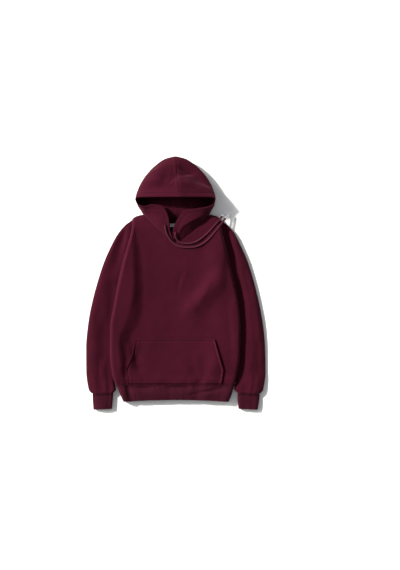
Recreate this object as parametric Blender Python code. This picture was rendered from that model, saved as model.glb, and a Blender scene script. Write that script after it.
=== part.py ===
# Pullover hoodie laid on its back on a flat surface: body, sleeves, ribs, pocket, hood and drawcord.
# +Z is up, +Y runs from hem to hood. Left and right are a viewer's, so +X is right. Sizes are millimetres
# until the mesh is made.

import math

import bmesh
import bpy
import numpy as np
from mathutils import Matrix, Vector

MM = 0.001

CLOTH = 2.4  # brushed fleece
CHANNEL = 4.8  # hood edge turned back over the drawcord
RIB = 3.2  # doubled rib at hem and cuffs
SEAM = 0.3  # clearance between sewn pieces
LAY = 0.7  # clearance between a piece and the panel under it
SEAM_LIFT = 0.12  # how far each panel's edge keeps from the level of its side seam

HEM_SEAM = -366.0
UNDERARM = -10.0
NECK_SHARE = 0.649  # how far across a panel the neck's side lies
NECK_SIDE = 246.0
NECK_FRONT = 145.0
NECK_BACK = 214.0
NECK_BACK_X = -14.0  # the collar lies a little askew
SHOULDER_DROP = 20.0
SHOULDER_SEAM_Z = 13.0
ROLL = 20.0  # how far the panels take to turn over at a side
TOP_ROLL = 26.0  # and at the shoulder
TUCK = 15.0  # height of a sleeve where the body lies on it

CHANNEL_WIDTH = 19.0

LABEL = (30.0, 13.0, 1.0)
LABEL_X = -16.0

CORD = 6.5
CORD_STEP = 15.0
TIP_LENGTH = 22.0
TIP_WIDE = 7.6
TIP_NARROW = 6.4

# Routes of the free ends of the drawcord, from the hood's channel over the shoulder.
CORD_LEFT = [
    (-38.9, 205.4, 58.2), (-36.5, 192, 55.8), (-32.5, 178, 52.7), (-24, 161, 47.6), (-12, 146, 44.3),
    (6, 133, 43.3), (28, 127.5, 42.6), (52, 127, 41.8), (76, 130.5, 41.4), (100, 142, 42.3), (122, 161, 44.6),
    (142, 184, 44.2), (156, 202, 40.8), (168, 217, 35), (178, 231, 29),
]
CORD_RIGHT = [
    (-1, 181, 57.4), (-1.5, 172, 54.8), (1, 161, 50.4), (8, 151, 45.8), (20, 144, 43.5), (38, 141, 42.6),
    (56, 142, 41.9), (76, 149, 41.3), (97, 163, 42), (118, 182, 43), (137, 203, 42.2), (151, 219, 37.5),
    (166, 238.5, 29),
]


def table(names, *rows):
    """A table with named columns, one row for each section or fold."""
    return dict(zip(names.split(), np.array(rows, float).T))


BODY = table(
    "y left right side top",
    (-366, 217, 213, 17, 33),
    (-330, 229, 221, 25, 35),
    (-250, 237, 232, 27, 36),
    (-160, 236, 233, 28, 36),
    (-75, 222, 226, 28, 35),
    (-10, 210, 213, 25, 35),
    (75, 191, 194, 21, 36),
    (140, 173, 178, 19, 37),
    (190, 160, 167, 16, 37),
    (226, 157, 161, 13, 32),
    (250, 157, 161, 13, 30),
)

# Back armhole: how far out the back panel reaches, and how much of a side roll it still has.
BACK_ARMHOLE = table(
    "y left right roll",
    (-10, 210, 213, 1.0),
    (15, 200, 203, 0.72),
    (45, 181, 185, 0.3),
    (75, 166, 170, 0.05),
    (140, 152, 156, 0.02),
    (190, 152, 157, 0.35),
    (226, 157, 161, 1.0),
    (250, 157, 161, 1.0),
)

# Main folds of the front, as soft ridges (+) and troughs (-) along a line from 0 to 1.
FRONT_FOLDS = table(
    "x0 y0 x1 y1 rise width",
    (-168, 140, -182, -60, 4.0, 22),
    (-182, -60, -205, -230, 4.5, 24),
    (-138, 150, -128, -40, -4.0, 24),
    (-128, -40, -150, -150, -5.0, 24),
    (142, 140, 140, 55, 5.0, 28),
    (140, 55, 60, -80, 4.0, 26),
    (150, -40, 78, -104, -5.0, 22),
)

POCKET = table(
    "y left right lift",
    (-362, 172, 163, 0.0),
    (-340, 176, 167, 0.0),
    (-312, 180, 171, 0.0),
    (-284, 166, 162, 1.5),
    (-256, 156, 154, 2.2),
    (-228, 149, 146, 1.5),
    (-201, 146, 139, 0.0),
)

# Sleeves: outer fold, inner fold, from shoulder and underarm to the cuff.
SLEEVE = table(
    "s left_ox left_oy left_ix left_iy right_ox right_oy right_ix right_iy",
    (0.00, -157, 226, -210, -10, 161, 226, 213, -10),
    (0.03, -168, 218, -212.5, -19, 171, 219, 215.5, -19),
    (0.06, -180, 209, -214, -30, 182, 210, 217, -30),
    (0.14, -211, 172, -215, -58, 208, 183, 218.5, -60),
    (0.24, -235, 127, -212, -92, 235, 130, 216, -92),
    (0.36, -258, 75, -203, -130, 259, 74, 207, -130),
    (0.48, -280, 8, -195, -170, 279, 10, 198, -170),
    (0.60, -300, -66, -190, -210, 297, -62, 192, -210),
    (0.72, -315, -145, -194, -250, 312, -140, 195, -250),
    (0.83, -322.8, -235, -204, -300, 321, -230, 203, -300),
    (0.92, -322.5, -315, -223.5, -350, 322.8, -320, 219, -350),
    (0.98, -313, -385, -220.5, -384, 314, -385, 214.5, -382),
    (1.00, -300, -400, -225, -397, 302, -400, 222, -397),
)

# Cuffs and hem: how far they run on from their seam, and their size as a share of the seam's.
CUFF = table(
    "along left_out left_in right_out right_in height",
    (0, -300, -225, 302, 222, 25),
    (22, -299, -226.5, 300, 222.2, 26),
    (55, -296.5, -229.5, 294.5, 225, 24),
)

HEM = table(
    "along left right high bow",
    (0, 217, 213, 33, 0),
    (8, 212, 209.5, 32, 1),
    (34, 201, 201, 34, 3),
    (61, 188.5, 190.5, 31, 7),
)

# Hood halves, from front centre (share 0) round the side of the neck (8/14) to back centre (share 1).
# fold: where the section turns over; rim: its free edge; bag: 0 for a short band, 1 for a deep pouch.
HOOD_RIGHT = table(
    "share fold_x fold_y fold_z rim_x rim_y rim_z bag under",
    (0.0, 0, 152, 41, -2, 160, 46, 0, 0),
    (1.0, 4, 162, 45, -9, 172, 51, 0, 0),
    (2.0, 11, 178, 52, -7, 192, 56, 0, 0),
    (3.0, 24, 201, 61, 3, 218, 60, 0, 0),
    (4.0, 46, 217, 65, 18, 243, 61, 0, 0),
    (5.0, 70, 230, 64, 38, 260, 62, 0, 0),
    (6.0, 93, 240, 57, 76, 264, 64, 0, 0),
    (7.0, 113, 250, 43, 112, 268, 66, 0.05, 0),
    (8.0, 139, 279, 32, 137, 283, 68, 0.4, 14),
    (9.0, 142.5, 306, 30, 141, 301, 78, 0.85, 26),
    (10.0, 133, 340, 30, 130, 309, 84, 1, 34),
    (11.0, 109, 382, 30, 105, 309, 92, 1, 38),
    (12.0, 75, 419, 30, 74, 309, 100, 1, 38),
    (13.0, 34, 446, 31, 42, 309, 107, 1, 38),
    (14.0, -1, 455, 32, 13, 309, 114.5, 1, 38),
)
HOOD_LEFT = table(
    "share fold_x fold_y fold_z rim_x rim_y rim_z bag under",
    (0.0, -8, 153, 42, -16, 161, 45.5, 0, 0),
    (1.0, -18, 162, 44, -21, 175, 50, 0, 0),
    (2.0, -30, 177, 48, -23, 197, 54, 0, 0),
    (3.0, -39, 192, 51, -25, 222, 58, 0, 0),
    (4.0, -52, 208, 52, -33, 252, 60, 0, 0),
    (5.0, -70, 223, 49, -51, 275, 62, 0, 0),
    (6.0, -88, 238, 44, -83, 278, 62, 0, 0),
    (7.0, -112, 249, 36, -114, 271, 60, 0.05, 0),
    (8.0, -138, 279, 30, -136, 282, 62, 0.4, 16),
    (9.0, -144, 306, 30, -143, 300, 70, 0.85, 30),
    (10.0, -134, 340, 30, -130, 309, 80, 1, 36),
    (11.0, -110, 382, 30, -103, 309, 91, 1, 38),
    (12.0, -76, 419, 30, -66, 309, 101, 1, 38),
    (13.0, -36, 446, 31, -27, 309, 109, 1, 38),
    (14.0, -1, 455, 32, 13, 309, 114.5, 1, 38),
)


def smooth(at, knots, values):
    """Smooth curve through the knots: cubic Hermite with limited slopes, so it never overshoots."""
    step = np.diff(knots)
    grade = np.diff(values) / step
    inner = np.where(grade[:-1] * grade[1:] > 0, 2 * grade[:-1] * grade[1:] / (grade[:-1] + grade[1:] + 1e-12), 0)
    slope = np.concatenate([grade[:1], inner, grade[-1:]])
    at = np.clip(at, knots[0], knots[-1])
    i = np.clip(np.searchsorted(knots, at, side="right") - 1, 0, len(step) - 1)
    t = (at - knots[i]) / step[i]
    rise = values[i] * (1 + 2 * t) * (1 - t) ** 2 + values[i + 1] * t**2 * (3 - 2 * t)
    return rise + step[i] * (slope[i] * t * (1 - t) ** 2 - slope[i + 1] * t**2 * (1 - t))


def ramp(value, start, end):
    """0 before start, 1 after end, smooth between."""
    t = np.clip((value - start) / (end - start), 0, 1)
    return t * t * (3 - 2 * t)


def unit(vectors):
    return vectors / np.maximum(np.linalg.norm(vectors, axis=-1, keepdims=True), 1e-9)


def normals_of(grid):
    """Unit normals of a grid of points, rows by columns. A row that ends where it starts is a closed ring."""
    if np.allclose(grid[:, 0], grid[:, -1]):
        wide = np.concatenate([grid[:, -2:-1], grid, grid[:, 1:2]], axis=1)
        across = wide[:, 2:] - wide[:, :-2]
    else:
        across = np.gradient(grid, axis=1)
    return unit(np.cross(across, np.gradient(grid, axis=0)))


def folds(x, y, rows):
    """Height that a table of soft folds adds: a bell across each line, fading past its ends."""
    total = np.zeros(np.broadcast(x, y).shape)
    for x0, y0, x1, y1, rise, width in zip(*(rows[k] for k in ("x0", "y0", "x1", "y1", "rise", "width"))):
        length = math.hypot(x1 - x0, y1 - y0)
        along = ((x - x0) * (x1 - x0) + (y - y0) * (y1 - y0)) / length
        off = ((x - x0) * (y1 - y0) - (y - y0) * (x1 - x0)) / length
        past = np.maximum(np.maximum(-along, along - length), 0)
        total += rise * np.exp(-((off / width) ** 2) - (past / (1.3 * width)) ** 2)
    return total


def half_width(y, right, rows=BODY):
    return np.where(right, smooth(y, rows["y"], rows["right"]), smooth(y, rows["y"], rows["left"]))


def shares(inner, outer, edge):
    """Column positions from -1 to 1: inner steps to the neck's side, outer to the roll, edge round it."""
    half = np.concatenate([
        np.linspace(0, NECK_SHARE, inner + 1),
        np.linspace(NECK_SHARE, 0.8, outer + 1)[1:],
        np.linspace(0.8, 1, edge + 1)[1:],
    ])
    return np.concatenate([-half[:0:-1], half])


FRONT_COLUMNS = shares(8, 2, 4)
BACK_COLUMNS = shares(6, 2, 4)
LOW_ROWS = np.array([HEM_SEAM, -340, -312, -256, -201, -140, -72, UNDERARM])
HIGH_ROWS = np.array([0.05, 0.14, 0.24, 0.38, 0.58, 0.78, 0.92, 0.98, 1.0])


def shoulder_line(share):
    """The shoulder seam, level with the neck's side up to there and falling beyond it."""
    past = np.clip((np.abs(share) - NECK_SHARE) / (1 - NECK_SHARE), 0, 1)
    return NECK_SIDE - SHOULDER_DROP * past**1.2


def neckline(share, front):
    """Where a column ends: on the neck seam, and past the neck's side on the shoulder."""
    low, power = (NECK_FRONT, 1.25) if front else (NECK_BACK, 2)
    return shoulder_line(share) - (NECK_SIDE - low) * (1 - np.minimum(np.abs(share) / NECK_SHARE, 1) ** power)


def row_heights(columns, front):
    """Each point's place along the garment, rows by columns."""
    low = np.repeat(LOW_ROWS[:, None], len(columns), axis=1)
    top = neckline(columns, front)
    high = UNDERARM + (top - UNDERARM) * HIGH_ROWS[:, None]
    return np.concatenate([low, high])


def front_top(x, y):
    """Height of the front panel away from its edges."""
    right = x > 0
    share = np.abs(x) / half_width(y, right)
    over_sleeve = ramp(y, -350, -290) * (1 - 0.75 * ramp(y, -20, 60))
    lift = 8 * over_sleeve * ramp(share, 0.42, 0.82)
    neck = 3 * np.exp(-((x / 70) ** 2) - ((y - 150) / 60) ** 2)
    return smooth(y, BODY["y"], BODY["top"]) + lift + neck + folds(x, y, FRONT_FOLDS)


def across(columns, y, widths_left, widths_right, roll):
    """x of each column, and how far it has turned over the side, 0 to 1."""
    right = columns > 0
    wide = np.where(right, widths_right, widths_left)
    share = np.abs(columns)
    turn = np.clip((share - 0.8) / 0.2, 0, 1)
    flat = (wide - ROLL) * np.minimum(share / 0.8, 1)
    over = ROLL * ((1 - roll) * turn + roll * np.sin(turn * math.pi / 2))
    return np.where(right, 1, -1) * (flat + over), turn


def front_panel():
    y = row_heights(FRONT_COLUMNS, True)
    left = smooth(y, BODY["y"], BODY["left"])
    right = smooth(y, BODY["y"], BODY["right"])
    x, turn = across(FRONT_COLUMNS[None, :], y, left, right, 1.0)
    crown = front_top(x, y)
    off = np.clip((shoulder_line(FRONT_COLUMNS) - y) / TOP_ROLL, 0, 1)
    seam = SHOULDER_SEAM_Z + SEAM_LIFT
    crown = seam + (crown - seam) * np.sqrt(1 - (1 - off) ** 2)
    side = smooth(y, BODY["y"], BODY["side"]) + SEAM_LIFT
    z = side + (crown - side) * np.cos(turn * math.pi / 2)
    return np.stack([x, y, z], axis=-1)


def back_roll(y):
    """How much of a side roll the back panel has: all of it below the underarm, little along the armhole."""
    return np.where(y > UNDERARM, smooth(y, BACK_ARMHOLE["y"], BACK_ARMHOLE["roll"]), 1.0)


def back_panel():
    y = row_heights(BACK_COLUMNS, False)
    high = y > UNDERARM
    left = np.where(high, smooth(y, BACK_ARMHOLE["y"], BACK_ARMHOLE["left"]), smooth(y, BODY["y"], BODY["left"]))
    right = np.where(high, smooth(y, BACK_ARMHOLE["y"], BACK_ARMHOLE["right"]), smooth(y, BODY["y"], BODY["right"]))
    roll = back_roll(y)
    x, turn = across(BACK_COLUMNS[None, :], y, left, right, roll)
    middle = (1 - np.abs(BACK_COLUMNS) / NECK_SHARE).clip(0, 1)
    x = x + NECK_BACK_X * middle * ramp(y, 100, 214)
    floor = back_floor(x, y)
    off = np.clip((shoulder_line(BACK_COLUMNS) - y) / TOP_ROLL, 0, 1)
    seam = SHOULDER_SEAM_Z - SEAM_LIFT
    floor = seam + (floor - seam) * np.sqrt(1 - (1 - off) ** 2)
    side = smooth(y, BODY["y"], BODY["side"]) - SEAM_LIFT
    z = floor + (side - floor) * roll * (1 - np.cos(turn * math.pi / 2))
    return np.stack([x, y, z], axis=-1)


def panel_normals(grid, columns, roll, lean):
    """Outward normals of a panel; at a seam they are those of the seam itself, leaning up or down at an armhole."""
    facing = 1.0 if grid[0, len(columns) // 2, 2] > 5 else -1.0
    normals = facing * normals_of(grid)
    for column, beside in ((0, 1), (-1, -2)):
        run = np.gradient(grid[:, column], axis=0)
        turned = np.array([0, 0, facing]) * roll[:, None]
        flat = unit((grid[:, column] - grid[:, beside]) * [1, 1, 0]) * (1 - roll[:, None])
        seam = unit(np.cross(run, turned - flat)) if column else unit(np.cross(turned - flat, run))
        normals[:, column] = facing * unit(seam + lean[:, None] * [0, 0, 1.0])
    for shoulder in (columns > NECK_SHARE - 0.001, columns < 0.001 - NECK_SHARE):
        run = np.gradient(grid[-1, shoulder], axis=0) * [1, 1, 0]
        normals[-1, shoulder] = unit(np.cross([0, 0, 1.0], run))
    normals[0] = unit(normals[0] * [1, 0, 1])
    return normals


def inner_fold(y, right):
    """How far out a sleeve's inner fold lies under the body."""
    rows_y, rows_x = (SLEEVE["right_iy"], SLEEVE["right_ix"]) if right else (SLEEVE["left_iy"], SLEEVE["left_ix"])
    return smooth(-y, -rows_y, np.abs(rows_x))


def back_floor(x, y):
    """Height of the back panel: on the floor, and over each sleeve that is tucked under it."""
    inner = np.where(x > 0, inner_fold(y, True), inner_fold(y, False))
    tucked = ramp(y, -364, -338) * (1 - ramp(y, -14, 30))
    return (TUCK + 2.6) * tucked * ramp(np.abs(x), inner - 46, inner - 12)


def sleeve_top(x, y, right):
    """Height of a sleeve: low under and beside the body, full towards its outer fold."""
    edge = half_width(y, right)
    beside = smooth(y, BODY["y"], BODY["side"]) - 1.0
    low = TUCK + (beside - TUCK) * ramp(y, -12, 40)
    full = 28.0 - 4.0 * ramp(y, 120, 220)
    out = np.abs(x) - edge
    return low + (full - low) * ramp(out, 2, 45)


RING_SHARES = 1 - np.concatenate([[0], HIGH_ROWS])[::-1]
SLEEVE_ROWS = np.array([0, 0.03, 0.08, 0.15, 0.24, 0.35, 0.47, 0.59, 0.71, 0.82, 0.9, 0.94, 0.975, 1.0])


def sleeve_rings(side, armhole):
    """Rings from armhole to cuff; each runs from the outer fold over the top to the inner fold and back under."""
    s = SLEEVE_ROWS[:, None]
    ox, oy, ix, iy = (smooth(s, SLEEVE["s"], SLEEVE[f"{side}_{end}"]) for end in ("ox", "oy", "ix", "iy"))
    w = RING_SHARES[None, :]
    w = w + (0.5 - 0.5 * np.cos(math.pi * w) - w) * ramp(s, 0, 0.3)
    x = ox + (ix - ox) * w
    y = oy + (iy - oy) * w
    wide = np.hypot(ix - ox, iy - oy)
    outer = np.clip(w * wide / 16, 0, 1)
    inner = np.clip((1 - w) * wide / 10, 0, 1)
    swell = np.sqrt(1 - (1 - outer) ** 2) * np.sqrt(1 - (1 - inner) ** 2)
    cuffed = ramp(s, 0.9, 1.0)
    full = sleeve_top(x, y, side == "right")
    full = full + (CUFF["height"][0] - full) * cuffed
    middle = 0.46 * full + (0.5 * TUCK - 0.46 * full) * ramp(w, 0.6, 1) * (1 - cuffed)
    upper = np.stack([x, y, middle + (full - middle) * swell], axis=-1)
    lower = np.stack([x, y, middle * (1 - swell)], axis=-1)[:, -2:0:-1]
    rings = np.concatenate([upper, lower, upper[:, :1]], axis=1)
    reach = 0.12 - 0.06 * ramp(np.concatenate([w, w[:, -2::-1]], axis=1), 0.5, 1)
    fade = np.clip(1 - s / reach, 0, 1)[..., None] ** 2
    rings = rings + (armhole - rings[0]) * fade
    rings[..., 2] = np.maximum(rings[..., 2], 0)
    level = unit(np.stack([ox - ix, oy - iy, 0 * ox], axis=-1))
    facing = level * (inner - outer)[..., None]
    above = facing + swell[..., None] * [0, 0, 1.0]
    below = facing - swell[..., None] * [0, 0, 1.0]
    return rings, unit(np.concatenate([above, below[:, -2:0:-1], above[:, :1]], axis=1))


def beyond(edge, before, gap):
    """Points of an edge carried on by gap, away from the points before it."""
    return edge + unit(edge - before) * gap


def trimmed(grid, gap=SEAM / 2):
    """The grid with each border drawn back by gap, which leaves room for the seam."""
    cut = grid.copy()
    cut[0] = beyond(grid[0], grid[1], -gap)
    cut[-1] = beyond(grid[-1], grid[-2], -gap)
    cut[:, 0] = beyond(cut[:, 0], cut[:, 1], -gap)
    cut[:, -1] = beyond(cut[:, -1], cut[:, -2], -gap)
    return cut


def wall(outer, thickness, normals):
    """Closed shell: an outer grid, the same grid moved in by the thickness, and the edges between them."""
    inner = outer - normals * np.broadcast_to(thickness, outer.shape[:2])[..., None]
    around = np.allclose(outer[:, 0], outer[:, -1])
    if around:
        outer, inner = outer[:, :-1], inner[:, :-1]
    rows, columns = outer.shape[:2]
    points = np.concatenate([outer.reshape(-1, 3), inner.reshape(-1, 3)])
    index = np.arange(rows * columns).reshape(rows, columns)
    if around:
        index = np.concatenate([index, index[:, :1]], axis=1)
    a, b = index[:-1, :-1].ravel(), index[:-1, 1:].ravel()
    c, d = index[1:, 1:].ravel(), index[1:, :-1].ravel()
    under = rows * columns
    faces = [np.stack([a, b, c, d], axis=1), np.stack([a, d, c, b], axis=1) + under]
    borders = [index[0, ::-1], index[-1]]
    if not around:
        borders += [index[:, 0], index[::-1, -1]]
    order = points @ [1.0, 0.37, 0.11]
    for border in borders:
        p, q = border[:-1], border[1:]
        turned = order[q] > order[p]
        edge = np.stack([p, q, q + under, p + under], axis=1)
        edge[turned] = np.roll(edge[turned], -1, axis=1)
        faces.append(edge)
    return points, np.concatenate(faces).tolist()


def section(neck, fold, rim, bag, under):
    """Seven points of a hood section: neck seam, lower leg, fold, upper leg and rim."""
    spots = []
    for share, flat_z in ((0.4 - 0.18 * bag, under), (0.8 + 0 * bag, 1.5)):
        spot = neck + share[..., None] * (fold - neck)
        spot[..., 2] += bag * (flat_z - spot[..., 2])
        spots.append(spot)
    for share, drawn, lift in ((0.33, 0.22, 0.42), (0.67, 0.6, 0.76)):
        flat = share + bag * (drawn - share)
        spot = fold + flat[..., None] * (rim - fold)
        spot[..., 2] = fold[..., 2] + (share + bag * (lift - share)) * (rim - fold)[..., 2]
        spots.append(spot)
    return np.stack([neck, spots[0], spots[1], fold, spots[2], spots[3], rim])


HOOD_KNOTS = np.array([0, 0.17, 0.36, 0.5, 0.6, 0.78, 1.0])
HOOD_ROWS = np.array([0, 0.03, 0.09, 0.17, 0.27, 0.36, 0.43, 0.5, 0.55, 0.6, 0.69, 0.78, 0.87, 0.94, 1.0])


def hood_grid(rows, neck):
    """Rows from neck seam to rim, columns from front centre to back centre."""
    at = np.arange(len(neck), dtype=float)
    read = {name: smooth(at, rows["share"], rows[name]) for name in rows}
    fold = np.stack([read["fold_x"], read["fold_y"], read["fold_z"]], axis=-1)
    rim = np.stack([read["rim_x"], read["rim_y"], read["rim_z"]], axis=-1)
    spots = section(neck, fold, rim, read["bag"], read["under"])
    grid = np.zeros((len(HOOD_ROWS), len(neck), 3))
    for c in range(len(neck)):
        for k in range(3):
            grid[:, c, k] = smooth(HOOD_ROWS, HOOD_KNOTS, spots[:, c, k])
    grid[..., 2] = np.maximum(grid[..., 2], 0)
    return grid


def hood_thickness(grid):
    """Cloth, and the double channel along the rim."""
    steps = np.linalg.norm(np.diff(grid, axis=0), axis=-1)
    from_neck = np.concatenate([np.zeros((1, grid.shape[1])), np.cumsum(steps, axis=0)])
    to_rim = from_neck[-1:] - from_neck
    doubled = (1 - ramp(to_rim, CHANNEL_WIDTH - 4, CHANNEL_WIDTH + 4)) * ramp(from_neck, 2, 12)
    return CLOTH + (CHANNEL - CLOTH) * doubled


def pocket_grid(panel):
    """Points of the pocket on the front panel's own facets, moved out."""
    shares_across = np.linspace(-1, 1, 17)
    rows = []
    for y, left, right, lift in zip(*(POCKET[k] for k in ("y", "left", "right", "lift"))):
        x = np.where(shares_across > 0, right, left) * shares_across
        r = int(np.clip(np.searchsorted(LOW_ROWS, y) - 1, 0, len(LOW_ROWS) - 2))
        t = (y - LOW_ROWS[r]) / (LOW_ROWS[r + 1] - LOW_ROWS[r])
        z = (1 - t) * np.interp(x, panel[r, :, 0], panel[r, :, 2])
        z = z + t * np.interp(x, panel[r + 1, :, 0], panel[r + 1, :, 2])
        z = z + LAY + CLOTH + lift * np.abs(shares_across) ** 4
        rows.append(np.stack([x, np.full_like(x, y), z], axis=-1))
    return np.array(rows)


def through(points, step):
    """Points about a step apart on a smooth curve through a hand-chosen route."""
    points = np.array(points, float)
    wide = np.concatenate([[2 * points[0] - points[1]], points, [2 * points[-1] - points[-2]]])
    fine = []
    for a, b, c, d in zip(wide, wide[1:], wide[2:], wide[3:]):
        t = np.linspace(0, 1, 24, endpoint=False)[:, None]
        fine.append(0.5 * (2 * b + (c - a) * t + (2 * a - 5 * b + 4 * c - d) * t**2 + (3 * b - a - 3 * c + d) * t**3))
    fine = np.concatenate(fine + [points[-1:]])
    along = np.concatenate([[0], np.cumsum(np.linalg.norm(np.diff(fine, axis=0), axis=1))])
    count = int(round(along[-1] / step)) + 1
    at = np.linspace(0, along[-1], count)
    return np.stack([np.interp(at, along, fine[:, k]) for k in range(3)], axis=-1)


def material(name, colour, roughness, metallic=0.0):
    made = bpy.data.materials.new(name)
    made.use_nodes = True
    shader = made.node_tree.nodes["Principled BSDF"]
    shader.inputs["Base Color"].default_value = (*colour, 1)
    shader.inputs["Roughness"].default_value = roughness
    shader.inputs["Metallic"].default_value = metallic
    return made


def add(name, shape, finish):
    points, faces = shape
    mesh = bpy.data.meshes.new(name)
    mesh.from_pydata((points * MM).tolist(), [], faces)
    mesh.update()
    mesh.materials.append(finish)
    mesh.shade_smooth()
    made = bpy.data.objects.new(name, mesh)
    bpy.context.scene.collection.objects.link(made)
    return made


def add_cord(name, route, finish):
    curve = bpy.data.curves.new(name, "CURVE")
    curve.dimensions = "3D"
    curve.bevel_depth = CORD / 2 * MM
    curve.bevel_resolution = 2
    curve.use_fill_caps = True
    points = through(route, CORD_STEP)
    spline = curve.splines.new("POLY")
    spline.points.add(len(points) - 1)
    for spot, place in zip(spline.points, points):
        spot.co = (*(place * MM), 1)
    curve.materials.append(finish)
    made = bpy.data.objects.new(name, curve)
    bpy.context.scene.collection.objects.link(made)
    return points


def add_tip(name, before, start, finish):
    """A turned metal tip in line with the last run of its cord."""
    before, start = Vector(before), Vector(start)
    along = (start - before).normalized()
    mesh = bpy.data.meshes.new(name)
    shape = bmesh.new()
    turn = along.to_track_quat("Z", "Y").to_matrix().to_4x4()
    place = Matrix.Translation((start + along * (SEAM + TIP_LENGTH / 2)) * MM) @ turn
    bmesh.ops.create_cone(
        shape, cap_ends=True, segments=12, radius1=TIP_WIDE / 2 * MM, radius2=TIP_NARROW / 2 * MM,
        depth=TIP_LENGTH * MM, matrix=place,
    )
    shape.to_mesh(mesh)
    shape.free()
    mesh.materials.append(finish)
    made = bpy.data.objects.new(name, mesh)
    bpy.context.scene.collection.objects.link(made)


def build_body(fleece):
    """Front and back panels; returns their grids and normals for the pieces that are sewn on."""
    front, back = front_panel(), back_panel()
    roll = back_roll(front[:, 0, 1])
    over = panel_normals(front, FRONT_COLUMNS, np.ones(len(front)), 1 - roll)
    under = panel_normals(back, BACK_COLUMNS, roll, 5 * roll * (1 - roll))
    add("front_body", wall(trimmed(front), CLOTH, over), fleece)
    add("back_body", wall(trimmed(back)[:, ::-1], CLOTH, under[:, ::-1]), fleece)
    return front, back, over, under


def build_sleeve(side, body, fleece, rib):
    """A sleeve from its armhole, and the cuff that goes on from its last ring."""
    front, back, over, under = body
    column, beside = (-1, -2) if side == "right" else (0, 1)
    low = len(LOW_ROWS) - 1
    top = beyond(front[low:, column], front[low:, beside], SEAM / 2)[::-1]
    below = beyond(back[low:, column], back[low:, beside], SEAM / 2)
    top[0] = 0.5 * (top[0] + below[-1])
    top[-1] = 0.5 * (top[-1] + below[0])
    armhole = np.concatenate([top, below[1:-1], top[:1]])
    seam_normals = np.concatenate([over[low:, column][::-1], under[low + 1 : -1, column], over[-1:, column]])
    rings, normals = sleeve_rings(side, armhole)
    flip = slice(None) if side == "right" else slice(None, None, -1)
    normals = normals[:, flip]
    normals[0] = seam_normals[flip]
    normals[-1] = unit(normals[-1] * [1, 0, 1])
    cuff = cuff_rings(side, rings[-1])[:, flip]
    rings[-1] = beyond(rings[-1], rings[-2], -SEAM / 2)
    add(f"sleeve_{side}", wall(rings[:, flip], CLOTH, normals), fleece)
    cuff_normals = normals_of(cuff)
    cuff_normals[0] = normals[-1]
    add(f"cuff_{side}", wall(cuff, RIB, cuff_normals), rib)


def cuff_rings(side, seam):
    """The sleeve's last ring carried on, with the table's widths and heights."""
    out, into, high = CUFF[f"{side}_out"], CUFF[f"{side}_in"], CUFF["height"]
    t = (seam[:, 0] - into[0]) / (out[0] - into[0])
    rings = []
    for row, along in enumerate(CUFF["along"]):
        x = into[row] + t * (out[row] - into[row])
        y = seam[:, 1] - along - (SEAM / 2 if row == 0 else 0)
        rings.append(np.stack([x, y, seam[:, 2] * high[row] / high[0]], axis=-1))
    return np.array(rings)


def build_hem(body, rib):
    """The hem's rings go on from both panels' lower rows."""
    front, back, over, under = body
    seam = np.concatenate([front[0], back[0, -2::-1]])
    seam_normals = np.concatenate([over[0], under[0, -2::-1]])
    share = np.where(seam[:, 0] > 0, seam[:, 0] / HEM["right"][0], -seam[:, 0] / HEM["left"][0])
    rings = []
    for row, along in enumerate(HEM["along"]):
        x = np.where(seam[:, 0] > 0, HEM["right"][row], -HEM["left"][row]) * share
        y = HEM_SEAM - along - (SEAM / 2 if row == 0 else 0) + HEM["bow"][row] * (1 - share**2)
        rings.append(np.stack([x, y, seam[:, 2] * HEM["high"][row] / HEM["high"][0]], axis=-1))
    rings = np.array(rings)[:, ::-1]
    normals = normals_of(rings)
    normals[0] = seam_normals[::-1]
    add("hem_rib", wall(rings, RIB, normals), rib)


def build_hood(body, fleece):
    """Two halves that meet in the centre seam, each from its half of the neck seam to the rim."""
    front, back, over, under = body
    middle_front, middle_back = len(FRONT_COLUMNS) // 2, len(BACK_COLUMNS) // 2
    grids, borders = [], []
    for rows, step in ((HOOD_RIGHT, 1), (HOOD_LEFT, -1)):
        on_front = middle_front + step * np.arange(9)
        on_back = middle_back + step * np.arange(5, -1, -1)
        neck = np.concatenate([front[-1][on_front], back[-1][on_back]])
        before = np.concatenate([front[-2][on_front], back[-2][on_back]])
        borders.append(np.concatenate([over[-1][on_front], under[-1][on_back]]))
        grids.append(hood_grid(rows, beyond(neck, before, SEAM / 2)))
    grid = np.concatenate([grids[0], grids[1][:, -2::-1]], axis=1)
    normals = normals_of(grid)
    normals[0] = np.concatenate([borders[0], borders[1][-2::-1]])
    thick = hood_thickness(grid)
    middle = grids[0].shape[1] - 1
    for side, part in (("right", slice(0, middle + 1)), ("left", slice(middle, None))):
        half = grid[:, part].copy()
        half[:, 0] = beyond(half[:, 0], half[:, 1], -SEAM / 2)
        half[:, -1] = beyond(half[:, -1], half[:, -2], -SEAM / 2)
        add(f"hood_{side}", wall(half, thick[:, part], normals[:, part]), fleece)


def build_label(linen):
    """A blank label in the back neck seam."""
    wide, long, thick = LABEL
    x = LABEL_X + np.linspace(-wide / 2, wide / 2, 5)
    y = NECK_BACK - 1.0 - np.linspace(long, 0, 4)[:, None]
    x, y = np.broadcast_arrays(x, y)
    z = CLOTH + LAY + thick + 0.8 * ((x - LABEL_X) / wide * 2) ** 2
    grid = np.stack([x, y, z], axis=-1)
    add("neck_label", wall(grid, thick, normals_of(grid)), linen)


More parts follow.
